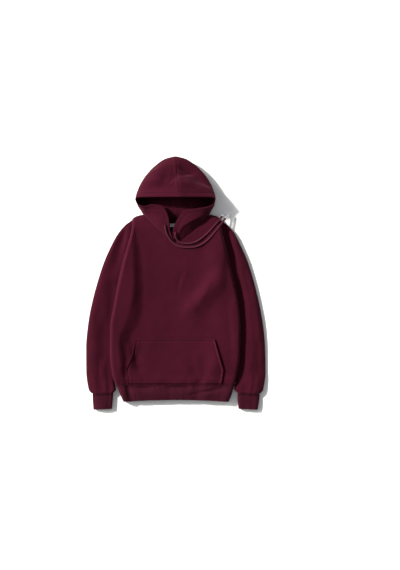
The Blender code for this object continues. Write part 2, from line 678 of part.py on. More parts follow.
def main():
    for old in list(bpy.data.objects):
        bpy.data.objects.remove(old)
    fleece = material("fleece", (0.13, 0.018, 0.045), 0.9)
    rib = material("rib", (0.115, 0.016, 0.04), 0.92)
    cord = material("cord", (0.14, 0.02, 0.05), 0.8)
    metal = material("tip_metal", (0.75, 0.75, 0.77), 0.3, 1.0)
    linen = material("label_cloth", (0.85, 0.85, 0.84), 0.8)
    body = build_body(fleece)
    for side in ("left", "right"):
        build_sleeve(side, body, fleece, rib)
    build_hem(body, rib)
    pocket = pocket_grid(body[0])
    add("kangaroo_pocket", wall(pocket, CLOTH, normals_of(pocket)), fleece)
    build_hood(body, fleece)
    build_label(linen)
    for side, route in (("left", CORD_LEFT), ("right", CORD_RIGHT)):
        points = add_cord(f"drawcord_{side}", route, cord)
        add_tip(f"cord_tip_{side}", points[-2], points[-1], metal)


main()
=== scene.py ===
# Dressed model of a pullover hoodie that lies on its back: cloth, ribs, seams, drawcord, floor and light.
# Sizes are in millimetres until a mesh is made. +Y runs from hem to hood, and left is at -X.
import math

import bpy
import numpy as np
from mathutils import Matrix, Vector


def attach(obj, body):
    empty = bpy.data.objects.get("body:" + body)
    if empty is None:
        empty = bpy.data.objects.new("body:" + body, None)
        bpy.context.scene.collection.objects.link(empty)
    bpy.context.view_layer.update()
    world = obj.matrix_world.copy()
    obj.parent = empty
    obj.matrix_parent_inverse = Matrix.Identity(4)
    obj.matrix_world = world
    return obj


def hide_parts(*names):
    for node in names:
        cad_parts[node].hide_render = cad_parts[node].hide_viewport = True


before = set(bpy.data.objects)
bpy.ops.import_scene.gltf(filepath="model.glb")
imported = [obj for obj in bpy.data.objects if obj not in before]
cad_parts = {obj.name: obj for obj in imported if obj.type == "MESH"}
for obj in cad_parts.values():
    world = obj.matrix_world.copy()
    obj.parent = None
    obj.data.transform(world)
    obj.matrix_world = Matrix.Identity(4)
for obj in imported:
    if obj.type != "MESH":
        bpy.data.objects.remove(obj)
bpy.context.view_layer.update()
toMetres = 0.001
upwards = np.array([0, 0, 1.0])
levelOnly = np.array([1, 1, 0])

cameraSettings = {
    "x": 87.0, "y": -8.0, "height": 12000.0, "viewHeight": 2052.0, "sensor": 24.0, "clipEnd": 60.0,
}


def addObject(name, data):
    # a named object of its data, linked to the scene
    made = bpy.data.objects.new(name, data)
    bpy.context.scene.collection.objects.link(made)
    return made


def makeCamera(s):
    # straight down, far off; lens = sensor x height / the height of floor in view
    data = bpy.data.cameras.new("camera")
    data.sensor_fit = "VERTICAL"
    data.sensor_height = s["sensor"]
    data.lens = s["sensor"] * s["height"] / s["viewHeight"]
    data.clip_end = s["clipEnd"]
    made = addObject("camera", data)
    made.location = [s[key] * toMetres for key in ("x", "y", "height")]
    bpy.context.scene.camera = made


makeCamera(cameraSettings)
print("camera placed")

farOff = 500.0  # stands for "no seam near"
roundAngle = 6.283  # span of the random phases


def table(names, *rows):
    # named columns from rows of numbers
    return dict(zip(names.split(), np.array(rows, float).T))


def creaseTable(*rows):
    # creases as a table: both ends of each line, then its rise, width, skew and bow
    return table("x0 y0 x1 y1 rise width skew bow", *rows)


def smoothCurve(at, knots, values):
    # cubic Hermite between knots; the slope at a knot is the harmonic mean of the steps beside it, 0 at a turn
    values = np.asarray(values, float)
    more = (1,) * (values.ndim - 1)
    step = np.diff(knots).reshape((-1,) + more)
    grade = np.diff(values, axis=0) / step
    beside = grade[:-1] * grade[1:]
    inner = np.where(beside > 0, 2 * beside / (grade[:-1] + grade[1:] + 1e-12), 0)
    slope = np.concatenate([grade[:1], inner, grade[-1:]])
    at = np.clip(at, knots[0], knots[-1])
    i = np.clip(np.searchsorted(knots, at, side="right") - 1, 0, len(knots) - 2)
    t = ((at - knots[i]) / np.diff(knots)[i]).reshape(np.shape(at) + more)
    rise = values[i] * (1 + 2 * t) * (1 - t) ** 2 + values[i + 1] * t**2 * (3 - 2 * t)
    return rise + step[i] * (slope[i] * t * (1 - t) ** 2 - slope[i + 1] * t**2 * (1 - t))


def curveOf(at, knots, values):
    # smoothCurve for single numbers at any shape of places
    return smoothCurve(np.ravel(at), knots, values).reshape(np.shape(at))


def ramp(value, start, end):
    # 3t^2 - 2t^3, where t goes from 0 at start to 1 at end
    t = np.clip((value - start) / (end - start), 0, 1)
    return t * t * (3 - 2 * t)


def bell(value, middle, width):
    # e to the minus square of the distance from the middle in widths
    return np.exp(-(((value - middle) / width) ** 2))


def points(*axes):
    # a grid of places from the grids of their x, y and z
    return np.stack(axes, axis=-1)


def unit(vectors):
    # each vector divided by its length
    return vectors / np.maximum(np.linalg.norm(vectors, axis=-1, keepdims=True), 1e-9)


def beyond(edge, before, gap):
    # an edge carried on by gap, away from the points before it
    return edge + unit(edge - before) * gap


def onFloor(grid):
    # no point lies below the floor: z = the larger of z and 0
    grid[..., 2] = np.maximum(grid[..., 2], 0)
    return grid


def gridNormals(grid):
    # cross product of the steps across and along; a ring closes on its own first point
    if np.allclose(grid[:, 0], grid[:, -1]):
        wide = np.concatenate([grid[:, -2:-1], grid, grid[:, 1:2]], axis=1)
        across = wide[:, 2:] - wide[:, :-2]
    else:
        across = np.gradient(grid, axis=1)
    return unit(np.cross(across, np.gradient(grid, axis=0)))


def creases(x, y, rows, ends=0.1, reach=1.4):
    # the sum of ridges and troughs, each along a bowed line: rise x a bell across it, steeper on one side by
    # its skew, x a sine that peaks halfway x a bell past both ends
    total = np.zeros(np.broadcast(x, y).shape)
    for x0, y0, x1, y1, rise, width, skew, bow in zip(*rows.values()):
        length = math.hypot(x1 - x0, y1 - y0)
        along = ((x - x0) * (x1 - x0) + (y - y0) * (y1 - y0)) / length
        off = ((x - x0) * (y1 - y0) - (y - y0) * (x1 - x0)) / length
        t = np.clip(along / length, 0, 1)
        off = off - bow * 4 * t * (1 - t)
        past = np.maximum(np.maximum(-along, along - length), 0)
        wide = width * (1 + skew * np.tanh(off / width))
        depth = rise * (0.5 + 0.5 * np.sin(np.pi * np.clip(t, ends, 1 - ends)))
        total += depth * np.exp(-((off / wide) ** 2) - (past / (reach * width)) ** 2)
    return total


def ripples(x, y, seed, wave, height, count=9):
    # the sum of plane waves of random direction, phase and length around one wavelength
    rng = np.random.default_rng(seed)
    total = np.zeros(np.broadcast(x, y).shape)
    draws = [rng.uniform(*span, count) for span in ((0, np.pi), (0, roundAngle), (0.6, 1.7))]
    for angle, phase, scale in zip(*draws):
        k = 2 * np.pi / (wave * scale)
        total += np.sin(k * (x * math.cos(angle) + y * math.sin(angle)) + phase) * scale
    return total * height / 3


def pucker(run, dist, seed, reach=9.0, height=0.5, lengths=(12.3, 17.9, 27.1, 43.0)):
    # the sum of sine waves along a seam x a bell of the distance to it, and 0 in the seam itself
    rng = np.random.default_rng(seed)
    waves = np.zeros(np.broadcast(run, dist).shape)
    for length in lengths:
        bend = 0.6 * np.sin(run / (1.7 * length))
        waves += np.sin(2 * np.pi * run / length + rng.uniform(0, roundAngle) + bend)
    return height * waves / 2 * bell(dist, 0, reach) * ramp(dist, 0.2, 3)


def arcs(grid):
    # running lengths down each column and along each row: sums of the steps between points
    steps = [np.linalg.norm(np.diff(grid, axis=k), axis=-1) for k in (0, 1)]
    sums = [np.cumsum(step, axis=k) for k, step in enumerate(steps)]
    return [np.concatenate([np.zeros_like(total.take([0], k)), total], axis=k) for k, total in enumerate(sums)]


def edgeDistances(grid):
    # running lengths, and each point's distance to the first and last row and column
    down, over = arcs(grid)
    return down, over, (down, down[-1:] - down, over, over[:, -1:] - over)


def seamMap(*edges):
    # run and distance of the nearest of several stitched edges
    run, dist = np.zeros_like(edges[0][0]), np.full_like(edges[0][0], farOff)
    for edgeRun, edgeDist in edges:
        near = edgeDist < dist
        run, dist = np.where(near, edgeRun, run), np.where(near, edgeDist, dist)
    return run, dist


def halfRound(outer, inner, rows):
    # rows that join two last rows: middle + half x cos(angle) + outwards x size x sin(angle)
    along = unit(outer[-1] - outer[-2])
    middle, half = (outer[-1] + inner[-1]) / 2, (outer[-1] - inner[-1]) / 2
    size = np.linalg.norm(half, axis=-1, keepdims=True)
    turns = np.linspace(0, math.pi, rows + 2)[1:-1]
    return np.array([middle + half * math.cos(a) + along * size * math.sin(a) for a in turns])


def quadsOf(index):
    # the four corners of each cell in a grid of point numbers
    return np.stack([index[:-1, :-1], index[:-1, 1:], index[1:, 1:], index[1:, :-1]], axis=-1).reshape(-1, 4)


def shell(outer, thickness, normals, rimRows=0, coarse=2, clear=0.1):
    # closed cloth: outer grid, half-round rim past its last row, inner grid = outer - normal x thickness
    # with every coarse-th point of it, and the strips between their borders
    around = np.allclose(outer[:, 0], outer[:, -1])
    inner = outer - normals * np.broadcast_to(thickness, outer.shape[:2])[..., None]
    inner[..., 2] = np.maximum(inner[..., 2], clear)
    rows = len(outer)
    full = np.concatenate([outer, halfRound(outer, inner, rimRows)]) if rimRows else outer
    inner = inner[::coarse, ::coarse]
    keep = (slice(None), slice(None, -1 if around else None))
    full, inner = full[keep], inner[keep]
    top = np.arange(full.shape[0] * full.shape[1]).reshape(full.shape[:2])
    low = np.arange(inner.shape[0] * inner.shape[1]).reshape(inner.shape[:2]) + top.size
    places = np.concatenate([full.reshape(-1, 3), inner.reshape(-1, 3)])
    if around:
        top, low = (np.concatenate([index, index[:, :1]], axis=1) for index in (top, low))
    faces = quadsOf(top).tolist() + quadsOf(low)[:, ::-1].tolist()
    borders = [(top[0, ::-1], low[0, ::-1]), (top[-1], low[-1])]
    if not around:
        borders += [(top[:rows, 0], low[:, 0]), (top[:rows, -1][::-1], low[:, -1][::-1])]
    for edge, under in borders:
        upper = [edge[k : len(edge) - coarse + k][::coarse] for k in range(coarse)] + [edge[coarse::coarse]]
        faces += np.stack(upper + [under[1:], under[:-1]], axis=1).tolist()
    if rimRows and not around:
        faces.append(top[rows - 1 :, 0].tolist() + [int(low[-1, 0])])
        faces.append([int(low[-1, -1])] + top[rows - 1 :, -1][::-1].tolist())

    def spread(values):
        # a grid of values in the order of the points; the rim takes the last row's
        rimPart = np.repeat(values[-1:], rimRows, axis=0)
        parts = np.concatenate([values, rimPart])[keep], values[::coarse, ::coarse][keep]
        return np.concatenate([part.ravel() for part in parts])

    return places, faces, spread


def addPiece(name, places, faces, finish):
    # a smooth-shaded mesh object; metres = millimetres x toMetres
    mesh = bpy.data.meshes.new(name)
    mesh.from_pydata((places * toMetres).tolist(), [], faces)
    mesh.materials.append(finish)
    mesh.shade_smooth()
    mesh.update()
    return addObject(name, mesh)


def addMaps(piece, maps):
    # UV maps from values at the vertices, millimetres turned to metres
    mesh = piece.data
    corners = np.empty(len(mesh.loops), np.int32)
    mesh.loops.foreach_get("vertex_index", corners)
    for label, pair in maps.items():
        values = points(*pair) * toMetres
        mesh.uv_layers.new(name=label).data.foreach_set("uv", values[corners].astype(np.float32).ravel())


def makeCloth(name, outer, thickness, normals, finish, seam, rimRows=0, coarse=2):
    # a closed cloth piece; "cloth" holds real distances along the piece, "seam" run and distance of stitching
    places, faces, spread = shell(outer, thickness, normals, rimRows, coarse)
    piece = addPiece(name, places, faces, finish)
    down, over = arcs(outer)
    over = over - over[:, over.shape[1] // 2][:, None]
    addMaps(piece, {"cloth": (spread(over), spread(down)), "seam": (spread(seam[0]), spread(seam[1]))})
    return piece


def lengthsAlong(path):
    # 0, then the sum of the steps up to each point of a path
    return np.concatenate([[0], np.cumsum(np.linalg.norm(np.diff(path, axis=0), axis=1))])


def through(route, step, cuts=24):
    # a Catmull-Rom curve through a route, cut into steps of even length
    route = np.array(route, float)
    wide = np.concatenate([[2 * route[0] - route[1]], route, [2 * route[-1] - route[-2]]])
    a, b, c, d = (wide[k : len(wide) - 3 + k, None] for k in range(4))
    t = np.linspace(0, 1, cuts, endpoint=False)[None, :, None]
    fine = 0.5 * (2 * b + (c - a) * t + (2 * a - 5 * b + 4 * c - d) * t**2 + (3 * b - a - 3 * c + d) * t**3)
    fine = np.concatenate([fine.reshape(-1, 3), route[-1:]])
    along = lengthsAlong(fine)
    at = np.linspace(0, along[-1], int(round(along[-1] / step)) + 1)
    return points(*(np.interp(at, along, fine[:, k]) for k in range(3)))


def tube(path, profile, radius):
    # closed rings round a path, and a flat cap at each end: path + radius x (side cos(angle) + up sin(angle)),
    # where side = tangent x vertical and up = side x tangent
    tangent = unit(np.gradient(path, axis=0))
    side = unit(np.cross(tangent, upwards))
    up = np.cross(side, tangent)
    ring = side[:, None] * np.cos(profile)[..., None] + up[:, None] * np.sin(profile)[..., None]
    rings = path[:, None] + ring * radius[..., None]
    index = np.arange(profile.size).reshape(profile.shape)
    turned = np.roll(index, -1, axis=1)
    quads = np.stack([index[:-1], turned[:-1], turned[1:], index[1:]], axis=-1).reshape(-1, 4)
    return rings.reshape(-1, 3), quads.tolist() + [index[0, ::-1].tolist(), index[-1].tolist()]


def addNode(tree, kind, inputs=None, **settings):
    # a node; an input that is a socket is linked and any other is set
    made = tree.nodes.new("ShaderNode" + kind)
    for key, value in settings.items():
        setattr(made, key, value)
    for key, value in (inputs or {}).items():
        if isinstance(value, bpy.types.NodeSocket):
            tree.links.new(value, made.inputs[key])
        else:
            made.inputs[key].default_value = value
    return made


def calculator(tree):
    # a maker of Math nodes in one tree
    def calc(operation, *values, clamp=False):
        # result = the operation on its values
        inputs = dict(enumerate(values))
        return addNode(tree, "Math", inputs, operation=operation, use_clamp=clamp).outputs[0]

    return calc


def newGroup(name, inputs):
    # an empty node group: a number makes a Float input, a tuple a colour and None a vector.
    # Returns the group, its input sockets and its calculator
    group = bpy.data.node_groups.new(name, "ShaderNodeTree")
    kinds = {float: "Float", tuple: "Color", type(None): "Vector"}
    for label, value in inputs.items():
        kind = "NodeSocket" + kinds[type(value)]
        socket = group.interface.new_socket(label, in_out="INPUT", socket_type=kind)
        if value is not None:
            socket.default_value = value
    return group, group.nodes.new("NodeGroupInput").outputs, calculator(group)


def closeGroup(group, results):
    # one output of the group for each named result
    outs = group.nodes.new("NodeGroupOutput")
    for label, socket in results.items():
        kind = "NodeSocketColor" if socket.type == "RGBA" else "NodeSocketFloat"
        group.interface.new_socket(label, in_out="OUTPUT", socket_type=kind)
        group.links.new(socket, outs.inputs[label])
    return group


def noise(tree, vector, scale, detail=2.0, rough=0.5):
    # fractal noise, 0 to 1, with scale cells to the metre
    inputs = {"Vector": vector, "Scale": scale, "Detail": detail, "Roughness": rough}
    return addNode(tree, "TexNoise", inputs).outputs["Fac"]


def mixColour(tree, factor, low, high):
    # low x (1 - factor) + high x factor
    return addNode(tree, "Mix", {"Factor": factor, 6: low, 7: high}, data_type="RGBA").outputs[2]


def partsOf(tree, vector):
    # the first two parts of a vector
    return addNode(tree, "SeparateXYZ", {0: vector}).outputs[:2]


textureScales = {"blotch": 11.0, "tuft": 210.0, "fibre": 1300.0, "fuzz": 480.0, "scratch": 2600.0}


def toneGroup():
    # colour = dark to light by blotch + 0.7 x (tuft - 0.5) + Fibre x (fibre - 0.5), three sizes of noise
    group, ins, calc = newGroup(
        "clothTone", {"Vector": None, "Dark": (0, 0, 0, 1), "Light": (1, 1, 1, 1), "Fibre": 0.4}
    )
    blotch = noise(group, ins["Vector"], textureScales["blotch"], 3.0)
    tufts = noise(group, ins["Vector"], textureScales["tuft"], 3.0, 0.6)
    fibre = noise(group, ins["Vector"], textureScales["fibre"])
    fine = calc("MULTIPLY", calc("SUBTRACT", fibre, 0.5), ins["Fibre"])
    wide = calc("MULTIPLY_ADD", calc("SUBTRACT", tufts, 0.5), 0.7, blotch)
    share = calc("ADD", wide, fine, clamp=True)
    return closeGroup(group, {"Colour": mixColour(group, share, ins["Dark"], ins["Light"])})


def knitGroup():
    # height = Depth x (|sin(pi u)| + 0.35 sin(1.6 pi (v + zigzag of u))) + Fuzz x noise, u and v in wales
    group, ins, calc = newGroup(
        "knitHeight", {"UV": None, "Place": None, "Pitch": 0.0012, "Depth": 0.00012, "Fuzz": 0.00025}
    )
    u, v = (calc("DIVIDE", part, ins["Pitch"]) for part in partsOf(group, ins["UV"]))
    wale = calc("ABSOLUTE", calc("SINE", calc("MULTIPLY", u, math.pi)))
    slant = calc("PINGPONG", u, 0.5)
    loops = calc("SINE", calc("MULTIPLY", calc("ADD", v, slant), 2 * math.pi * 0.8))
    knit = calc("MULTIPLY", calc("MULTIPLY_ADD", loops, 0.35, wale), ins["Depth"])
    fuzz = calc("MULTIPLY", noise(group, ins["Place"], textureScales["fuzz"], 4.0, 0.65), ins["Fuzz"])
    return closeGroup(group, {"Height": calc("ADD", knit, fuzz)})


def stitchGroup(dashShare=0.72, grooveWide=0.0013, grooveDeep=0.0005, threadHigh=0.0003):
    # two rows at set distances from a seam: thread = dashes within Width, height = thread - bell-shaped grooves
    group, ins, calc = newGroup(
        "stitchRows", {"Seam": None, "First": 0.0025, "Second": 0.0085, "Pitch": 0.0034, "Width": 0.0007}
    )
    run, dist = partsOf(group, ins["Seam"])
    dash = calc("LESS_THAN", calc("FRACT", calc("DIVIDE", run, ins["Pitch"])), dashShare)
    threads, grooves = [], []
    for row in ("First", "Second"):
        off = calc("ABSOLUTE", calc("SUBTRACT", dist, ins[row]))
        near = calc("LESS_THAN", off, calc("MULTIPLY", ins["Width"], 0.5))
        threads.append(calc("MULTIPLY", near, dash))
        square = calc("POWER", calc("DIVIDE", off, grooveWide), 2.0)
        grooves.append(calc("EXPONENT", calc("MULTIPLY", square, -1.0)))
    thread = calc("ADD", *threads, clamp=True)
    groove = calc("MULTIPLY", calc("ADD", *grooves), -grooveDeep)
    return closeGroup(group, {"Thread": thread, "Height": calc("MULTIPLY_ADD", thread, threadHigh, groove)})


def ribGroup():
    # ribs across u: valley = (1 - 2 x zigzag)^2.5, height = Depth x (1 - valley); the valley also masks the
    # painted shade in the rib valleys
    group, ins, calc = newGroup("ribBands", {"UV": None, "Pitch": 0.0036, "Depth": 0.0008})
    wave = calc("PINGPONG", calc("DIVIDE", partsOf(group, ins["UV"])[0], ins["Pitch"]), 0.5)
    valley = calc("POWER", calc("SUBTRACT", 1.0, calc("MULTIPLY", wave, 2.0)), 2.5)
    height = calc("MULTIPLY", calc("SUBTRACT", 1.0, valley), ins["Depth"])
    return closeGroup(group, {"Height": height, "ValleyShade": valley})


def braidGroup(strands=4.0, deep=0.0006):
    # a round braid: weave = |sin| x |sin| of two sets of strands that cross, u being the turn and v the length;
    # 1 - weave masks the painted shade between strands
    group, ins, calc = newGroup("braid", {"UV": None, "Pitch": 0.0042})
    across, down = partsOf(group, ins["UV"])
    turn = calc("MULTIPLY", across, 1000.0)
    along = calc("DIVIDE", down, ins["Pitch"])
    waves = []
    for sign in (1.0, -1.0):
        angle = calc("MULTIPLY_ADD", turn, strands * sign, along)
        waves.append(calc("ABSOLUTE", calc("SINE", calc("MULTIPLY", angle, math.pi))))
    weave = calc("MULTIPLY", *waves)
    return closeGroup(
        group, {"Height": calc("MULTIPLY", weave, deep), "GapShade": calc("SUBTRACT", 1.0, weave, clamp=True)}
    )


def newMaterial(name, **values):
    # a Principled material with its plain values set on the shader, and the tree's calculator
    made = bpy.data.materials.new(name)
    made.use_nodes = True
    shader = made.node_tree.nodes["Principled BSDF"]
    for key, value in values.items():
        shader.inputs[key.replace("_", " ")].default_value = value
    return made, made.node_tree, shader, calculator(made.node_tree)


def useGroup(tree, name, inputs):
    # the named group's outputs in a material
    return addNode(tree, "Group", inputs, node_tree=groups[name]).outputs


def uvOf(tree, name="cloth"):
    # one of the piece's own UV maps
    return addNode(tree, "UVMap", uv_map=name).outputs["UV"]


def placeIn(tree):
    # object coordinates in metres
    return addNode(tree, "TexCoord").outputs["Object"]


def setLooks(tree, shader, source, height, target="Base Color"):
    # the target follows its source, and the normal a height in metres
    tree.links.new(source, shader.inputs[target])
    bump = addNode(tree, "Bump", {"Height": height, "Distance": 1.0})
    tree.links.new(bump.outputs[0], shader.inputs["Normal"])


fleeceSettings = {
    "dark": (0.0255, 0.0021, 0.0062, 1), "light": (0.040, 0.0035, 0.0097, 1),
    # thread: the stitches' own colour, made lighter than the cloth so that it also stands for the highlight on
    # stitched ridges: partly a painted highlight
    "thread": (0.085, 0.0125, 0.026, 1), "sheen": 0.095, "sheenRoughness": 0.4,
    "sheenTint": (1.0, 0.25, 0.4, 1), "roughness": 0.95, "specular": 0.05,
}
ribSettings = {
    **fleeceSettings, "dark": (0.029, 0.0032, 0.0078, 1), "light": (0.048, 0.0056, 0.0130, 1),
    # valley: painted shade, the darker colour put into the rib valleys where the ribs shade them
    "valley": (0.012, 0.0014, 0.0034, 1),
}
braidSettings = {
    # gap: painted shade, the dark colour put between the braid's strands
    "dark": (0.068, 0.0095, 0.0205, 1), "light": (0.112, 0.0175, 0.0365, 1), "gap": (0.02, 0.003, 0.006, 1),
    "gapShadeShare": 0.8,
}
metalSettings = {"colour": (0.62, 0.62, 0.64, 1), "roughSpan": 0.25, "roughBase": 0.18, "scratch": 0.00002}
weaveSettings = {
    # low and high: the tape's colour at the weave's low and high points; shade sets how much painted shade the
    # low points get
    "pitch": 0.0005, "low": (0.7, 0.69, 0.68, 1), "high": (0.93, 0.92, 0.91, 1), "shade": 0.15,
    "height": 0.00005,
}


def clothMaterial(name, s):
    # colour = tone mixed with thread at stitches, the thread partly lighter as a painted highlight, or with
    # painted shade in rib valleys; height = knit + stitches or ribs
    made, tree, shader, calc = newMaterial(
        name, Roughness=s["roughness"], Sheen_Weight=s["sheen"], Sheen_Roughness=s["sheenRoughness"],
        Sheen_Tint=s["sheenTint"], Specular_IOR_Level=s["specular"],
    )
    place, cloth = placeIn(tree), uvOf(tree)
    tone = useGroup(tree, "tone", {"Vector": place, "Dark": s["dark"], "Light": s["light"]})
    knit = useGroup(tree, "knit", {"UV": cloth, "Place": place})
    if "valley" in s:
        relief = useGroup(tree, "rib", {"UV": cloth})
        # on ribs the colour darkens in the valleys: painted shade
        factor, other = relief["ValleyShade"], s["valley"]
    else:
        relief = useGroup(tree, "stitch", {"Seam": uvOf(tree, "seam")})
        # stitches take the lighter thread colour: partly the thread's own colour, partly a painted highlight on
        # the stitched ridge
        factor, other = relief["Thread"], s["thread"]
    colour = mixColour(tree, factor, tone["Colour"], other)
    setLooks(tree, shader, colour, calc("ADD", knit["Height"], relief["Height"]))
    return made


def cordMaterial(s):
    # colour = tone, mixed with painted shade, a dark colour, by 0.8 x the gap between strands; height = braid
    made, tree, shader, calc = newMaterial("cordBraid", Roughness=0.85, Specular_IOR_Level=0.12)
    braid = useGroup(tree, "braid", {"UV": uvOf(tree)})
    tone = useGroup(tree, "tone", {"Vector": placeIn(tree), "Dark": s["dark"], "Light": s["light"]})
    deep = calc("MULTIPLY", braid["GapShade"], s["gapShadeShare"])
    setLooks(tree, shader, mixColour(tree, deep, tone["Colour"], s["gap"]), braid["Height"])
    return made


def metalMaterial(s):
    # turned metal: roughness = base + span x fine noise, height = a little of the same noise
    made, tree, shader, calc = newMaterial("tipMetal", Base_Color=s["colour"], Metallic=1.0, Roughness=0.3)
    marks = noise(tree, placeIn(tree), textureScales["scratch"], 3.0)
    rough = calc("MULTIPLY_ADD", marks, s["roughSpan"], s["roughBase"])
    setLooks(tree, shader, rough, calc("MULTIPLY", marks, s["scratch"]), "Roughness")
    return made


def labelMaterial(s):
    # fine plain weave: sin x sin of both distances gives the height and darkens the colour where the weave
    # sinks, which is painted shade
    made, tree, shader, calc = newMaterial("labelWeave", Roughness=0.7, Sheen_Weight=0.1)
    turns = 2 * math.pi / s["pitch"]
    waves = [calc("SINE", calc("MULTIPLY", part, turns)) for part in partsOf(tree, uvOf(tree))]
    weave = calc("MULTIPLY", *waves)
    shade = calc("MULTIPLY_ADD", weave, s["shade"], 1 - s["shade"], clamp=True)
    colour = mixColour(tree, shade, s["low"], s["high"])
    setLooks(tree, shader, colour, calc("MULTIPLY", weave, s["height"]))
    return made


groups = {
    "tone": toneGroup(), "knit": knitGroup(), "stitch": stitchGroup(), "rib": ribGroup(), "braid": braidGroup(),
}
finishes = {
    "fleece": clothMaterial("fleeceCloth", fleeceSettings), "rib": clothMaterial("ribCloth", ribSettings),
    "cord": cordMaterial(braidSettings), "metal": metalMaterial(metalSettings),
    "label": labelMaterial(weaveSettings),
}
print("materials made")

cordSettings = {
    "diameter": 6.5, "step": 1.6, "sides": 20, "tipSides": 32, "gap": 0.3,
    "strands": 4, "twist": 1.1, "bulge": 0.12, "inset": 0.06,
    "left": [
        (-38.9, 205.4, 58.2), (-36.5, 192, 55.8), (-32.5, 178, 52.7), (-24, 161, 47.6), (-12, 146, 44.3),
        (6, 133, 43.3), (28, 127.5, 42.6), (52, 127, 41.8), (76, 130.5, 41.4), (100, 142, 42.3),
        (122, 161, 44.6), (142, 184, 44.2), (156, 202, 40.8), (168, 217, 35), (178, 231, 29),
    ],
    "right": [
        (-1, 181, 57.4), (-1.5, 172, 54.8), (1, 161, 50.4), (8, 151, 45.8), (20, 144, 43.5), (38, 141, 42.6),
        (56, 142, 41.9), (76, 149, 41.3), (97, 163, 42), (118, 182, 43), (137, 203, 42.2), (151, 219, 37.5),
        (166, 238.5, 29),
    ],
}
# the tip's profile: rolled lip, waist, long taper and rounded end
tipRows = table(
    "at radius", (0, 3.3), (0.5, 3.8), (1.8, 3.8), (2.3, 3.45), (2.9, 3.7), (20.8, 3.3), (21.6, 2.95), (22, 2.1)
)


def ringAngles(count, sides):
    # for each of count rings, its sides' angles: even shares of a full turn
    return np.repeat(np.linspace(0, 2 * math.pi, sides, endpoint=False)[None, :], count, axis=0)


def makeCord(side, s):
    # a braided cord and its tip: radius = half the diameter - inset + bulge x two crossing waves
    path = through(s[side], s["step"])
    along = lengthsAlong(path)
    turns = ringAngles(len(path), s["sides"])
    around, down = s["strands"] * turns, along[:, None] * s["twist"]
    radius = s["diameter"] / 2 + s["bulge"] * np.cos(around + down) * np.cos(around - down) - s["inset"]
    cord = addPiece(f"cord{side.capitalize()}", *tube(path, turns, radius), finishes["cord"])
    addMaps(cord, {"cloth": (turns.ravel() / (2 * math.pi), np.repeat(along, s["sides"]))})
    spine = beyond(path[-1], path[-2], s["gap"]) + tipRows["at"][:, None] * unit(path[-1] - path[-2])
    angles = ringAngles(len(spine), s["tipSides"])
    rings = tube(spine, angles, np.repeat(tipRows["radius"][:, None], s["tipSides"], axis=1))
    tip = addPiece(f"tip{side.capitalize()}", *rings, finishes["metal"])
    for piece, node, slot in ((cord, f"drawcord_{side}", "cord"), (tip, f"cord_tip_{side}", "tip_metal")):
        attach(piece, "root")
        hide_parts(node)
    tuple(np.array(s[side][0]) * toMetres)


for side in ("left", "right"):
    makeCord(side, cordSettings)
print("cords laid")

bodySettings = {
    "cloth": 2.4, "seam": 0.3, "lay": 0.7, "seamLift": 0.12, "hemSeam": -366.0, "underarm": -10.0,
    "neckShare": 0.649, "neckSide": 246.0, "neckFront": 145.0, "neckBack": 214.0, "neckBackX": -14.0,
    "shoulderDrop": 20.0, "shoulderSeam": 13.0, "roll": 12.0, "topRoll": 26.0, "rollFrom": 0.8, "rollSpan": 0.2,
    "dropPower": 1.2, "frontPower": 1.25, "backPower": 2, "tuck": 15.0, "overSleeve": 2.6,
    "tuckStart": (-364, -338), "tuckEnd": (-14, 30), "tuckNear": 46, "tuckFull": 12, "neckBackSpan": (100, 214),
    "leanMost": 5, "columns": (84, 20, 24), "lowRows": 144, "highRows": 104, "crowd": 1.4,
    "ditch": 0.9, "ditchWidth": 2.4,
}
# what rises on the front beside its tables: places, widths and heights
topSettings = {
    "sleeveLift": 6.0, "neck": 3.0, "neckX": 70.0, "neckY": 60.0, "neckAt": 150.0, "hem": 2.2, "hemAt": -349.0,
    "hemWidth": 11.0, "foldShare": 1.12, "groove": 0.9, "grooveAt": -198.4, "grooveWidth": 2.2,
    "grooveEnd": (0, 8), "grooveHalf": 150.0, "ripples": (5, 60, 0.35), "alongSleeve": (-350, -290),
    "pastSleeve": (-20, 60), "pastShare": 0.75, "acrossSleeve": (0.42, 0.82),
}
bodyRows = table(
    "y left right side top",
    (-366, 217, 213, 17, 33), (-330, 229, 221, 25, 35), (-250, 237, 232, 27, 36), (-160, 236, 233, 28, 36),
    (-75, 222, 226, 28, 35), (-10, 210, 213, 25, 35), (75, 191, 194, 21, 36), (140, 173, 178, 19, 37),
    (190, 160, 167, 16, 37), (226, 157, 161, 13, 32), (250, 157, 161, 13, 30),
)
armholeRows = table(
    "y left right roll",
    (-10, 210, 213, 1), (15, 200, 203, 0.72), (45, 181, 185, 0.3), (75, 166, 170, 0.05),
    (140, 152, 156, 0.02), (190, 152, 157, 0.35), (226, 157, 161, 1), (250, 157, 161, 1),
)
frontFolds = creaseTable(
    (168, 165, 152, 14, 11, 34, 0.45, 0), (142, 8, 64, -84, 17, 33, -0.2, -4),
    (-160, -214, -134, -300, -5, 17, -0.2, 5),
)
# where the front steps down from the side that lies over the left sleeve
stepRows = table(
    "y x wide high",
    (-366, -186, 12, 3), (-300, -187, 15, 10), (-230, -191, 19, 13), (-190, -181, 25, 15),
    (-150, -158, 30, 17), (-110, -143, 27, 19), (-50, -136, 24, 19), (10, -134, 22, 18), (70, -137, 21, 16),
    (130, -143, 17, 12), (172, -149, 10, 7), (200, -151, 8, 3), (226, -151, 8, 0),
)
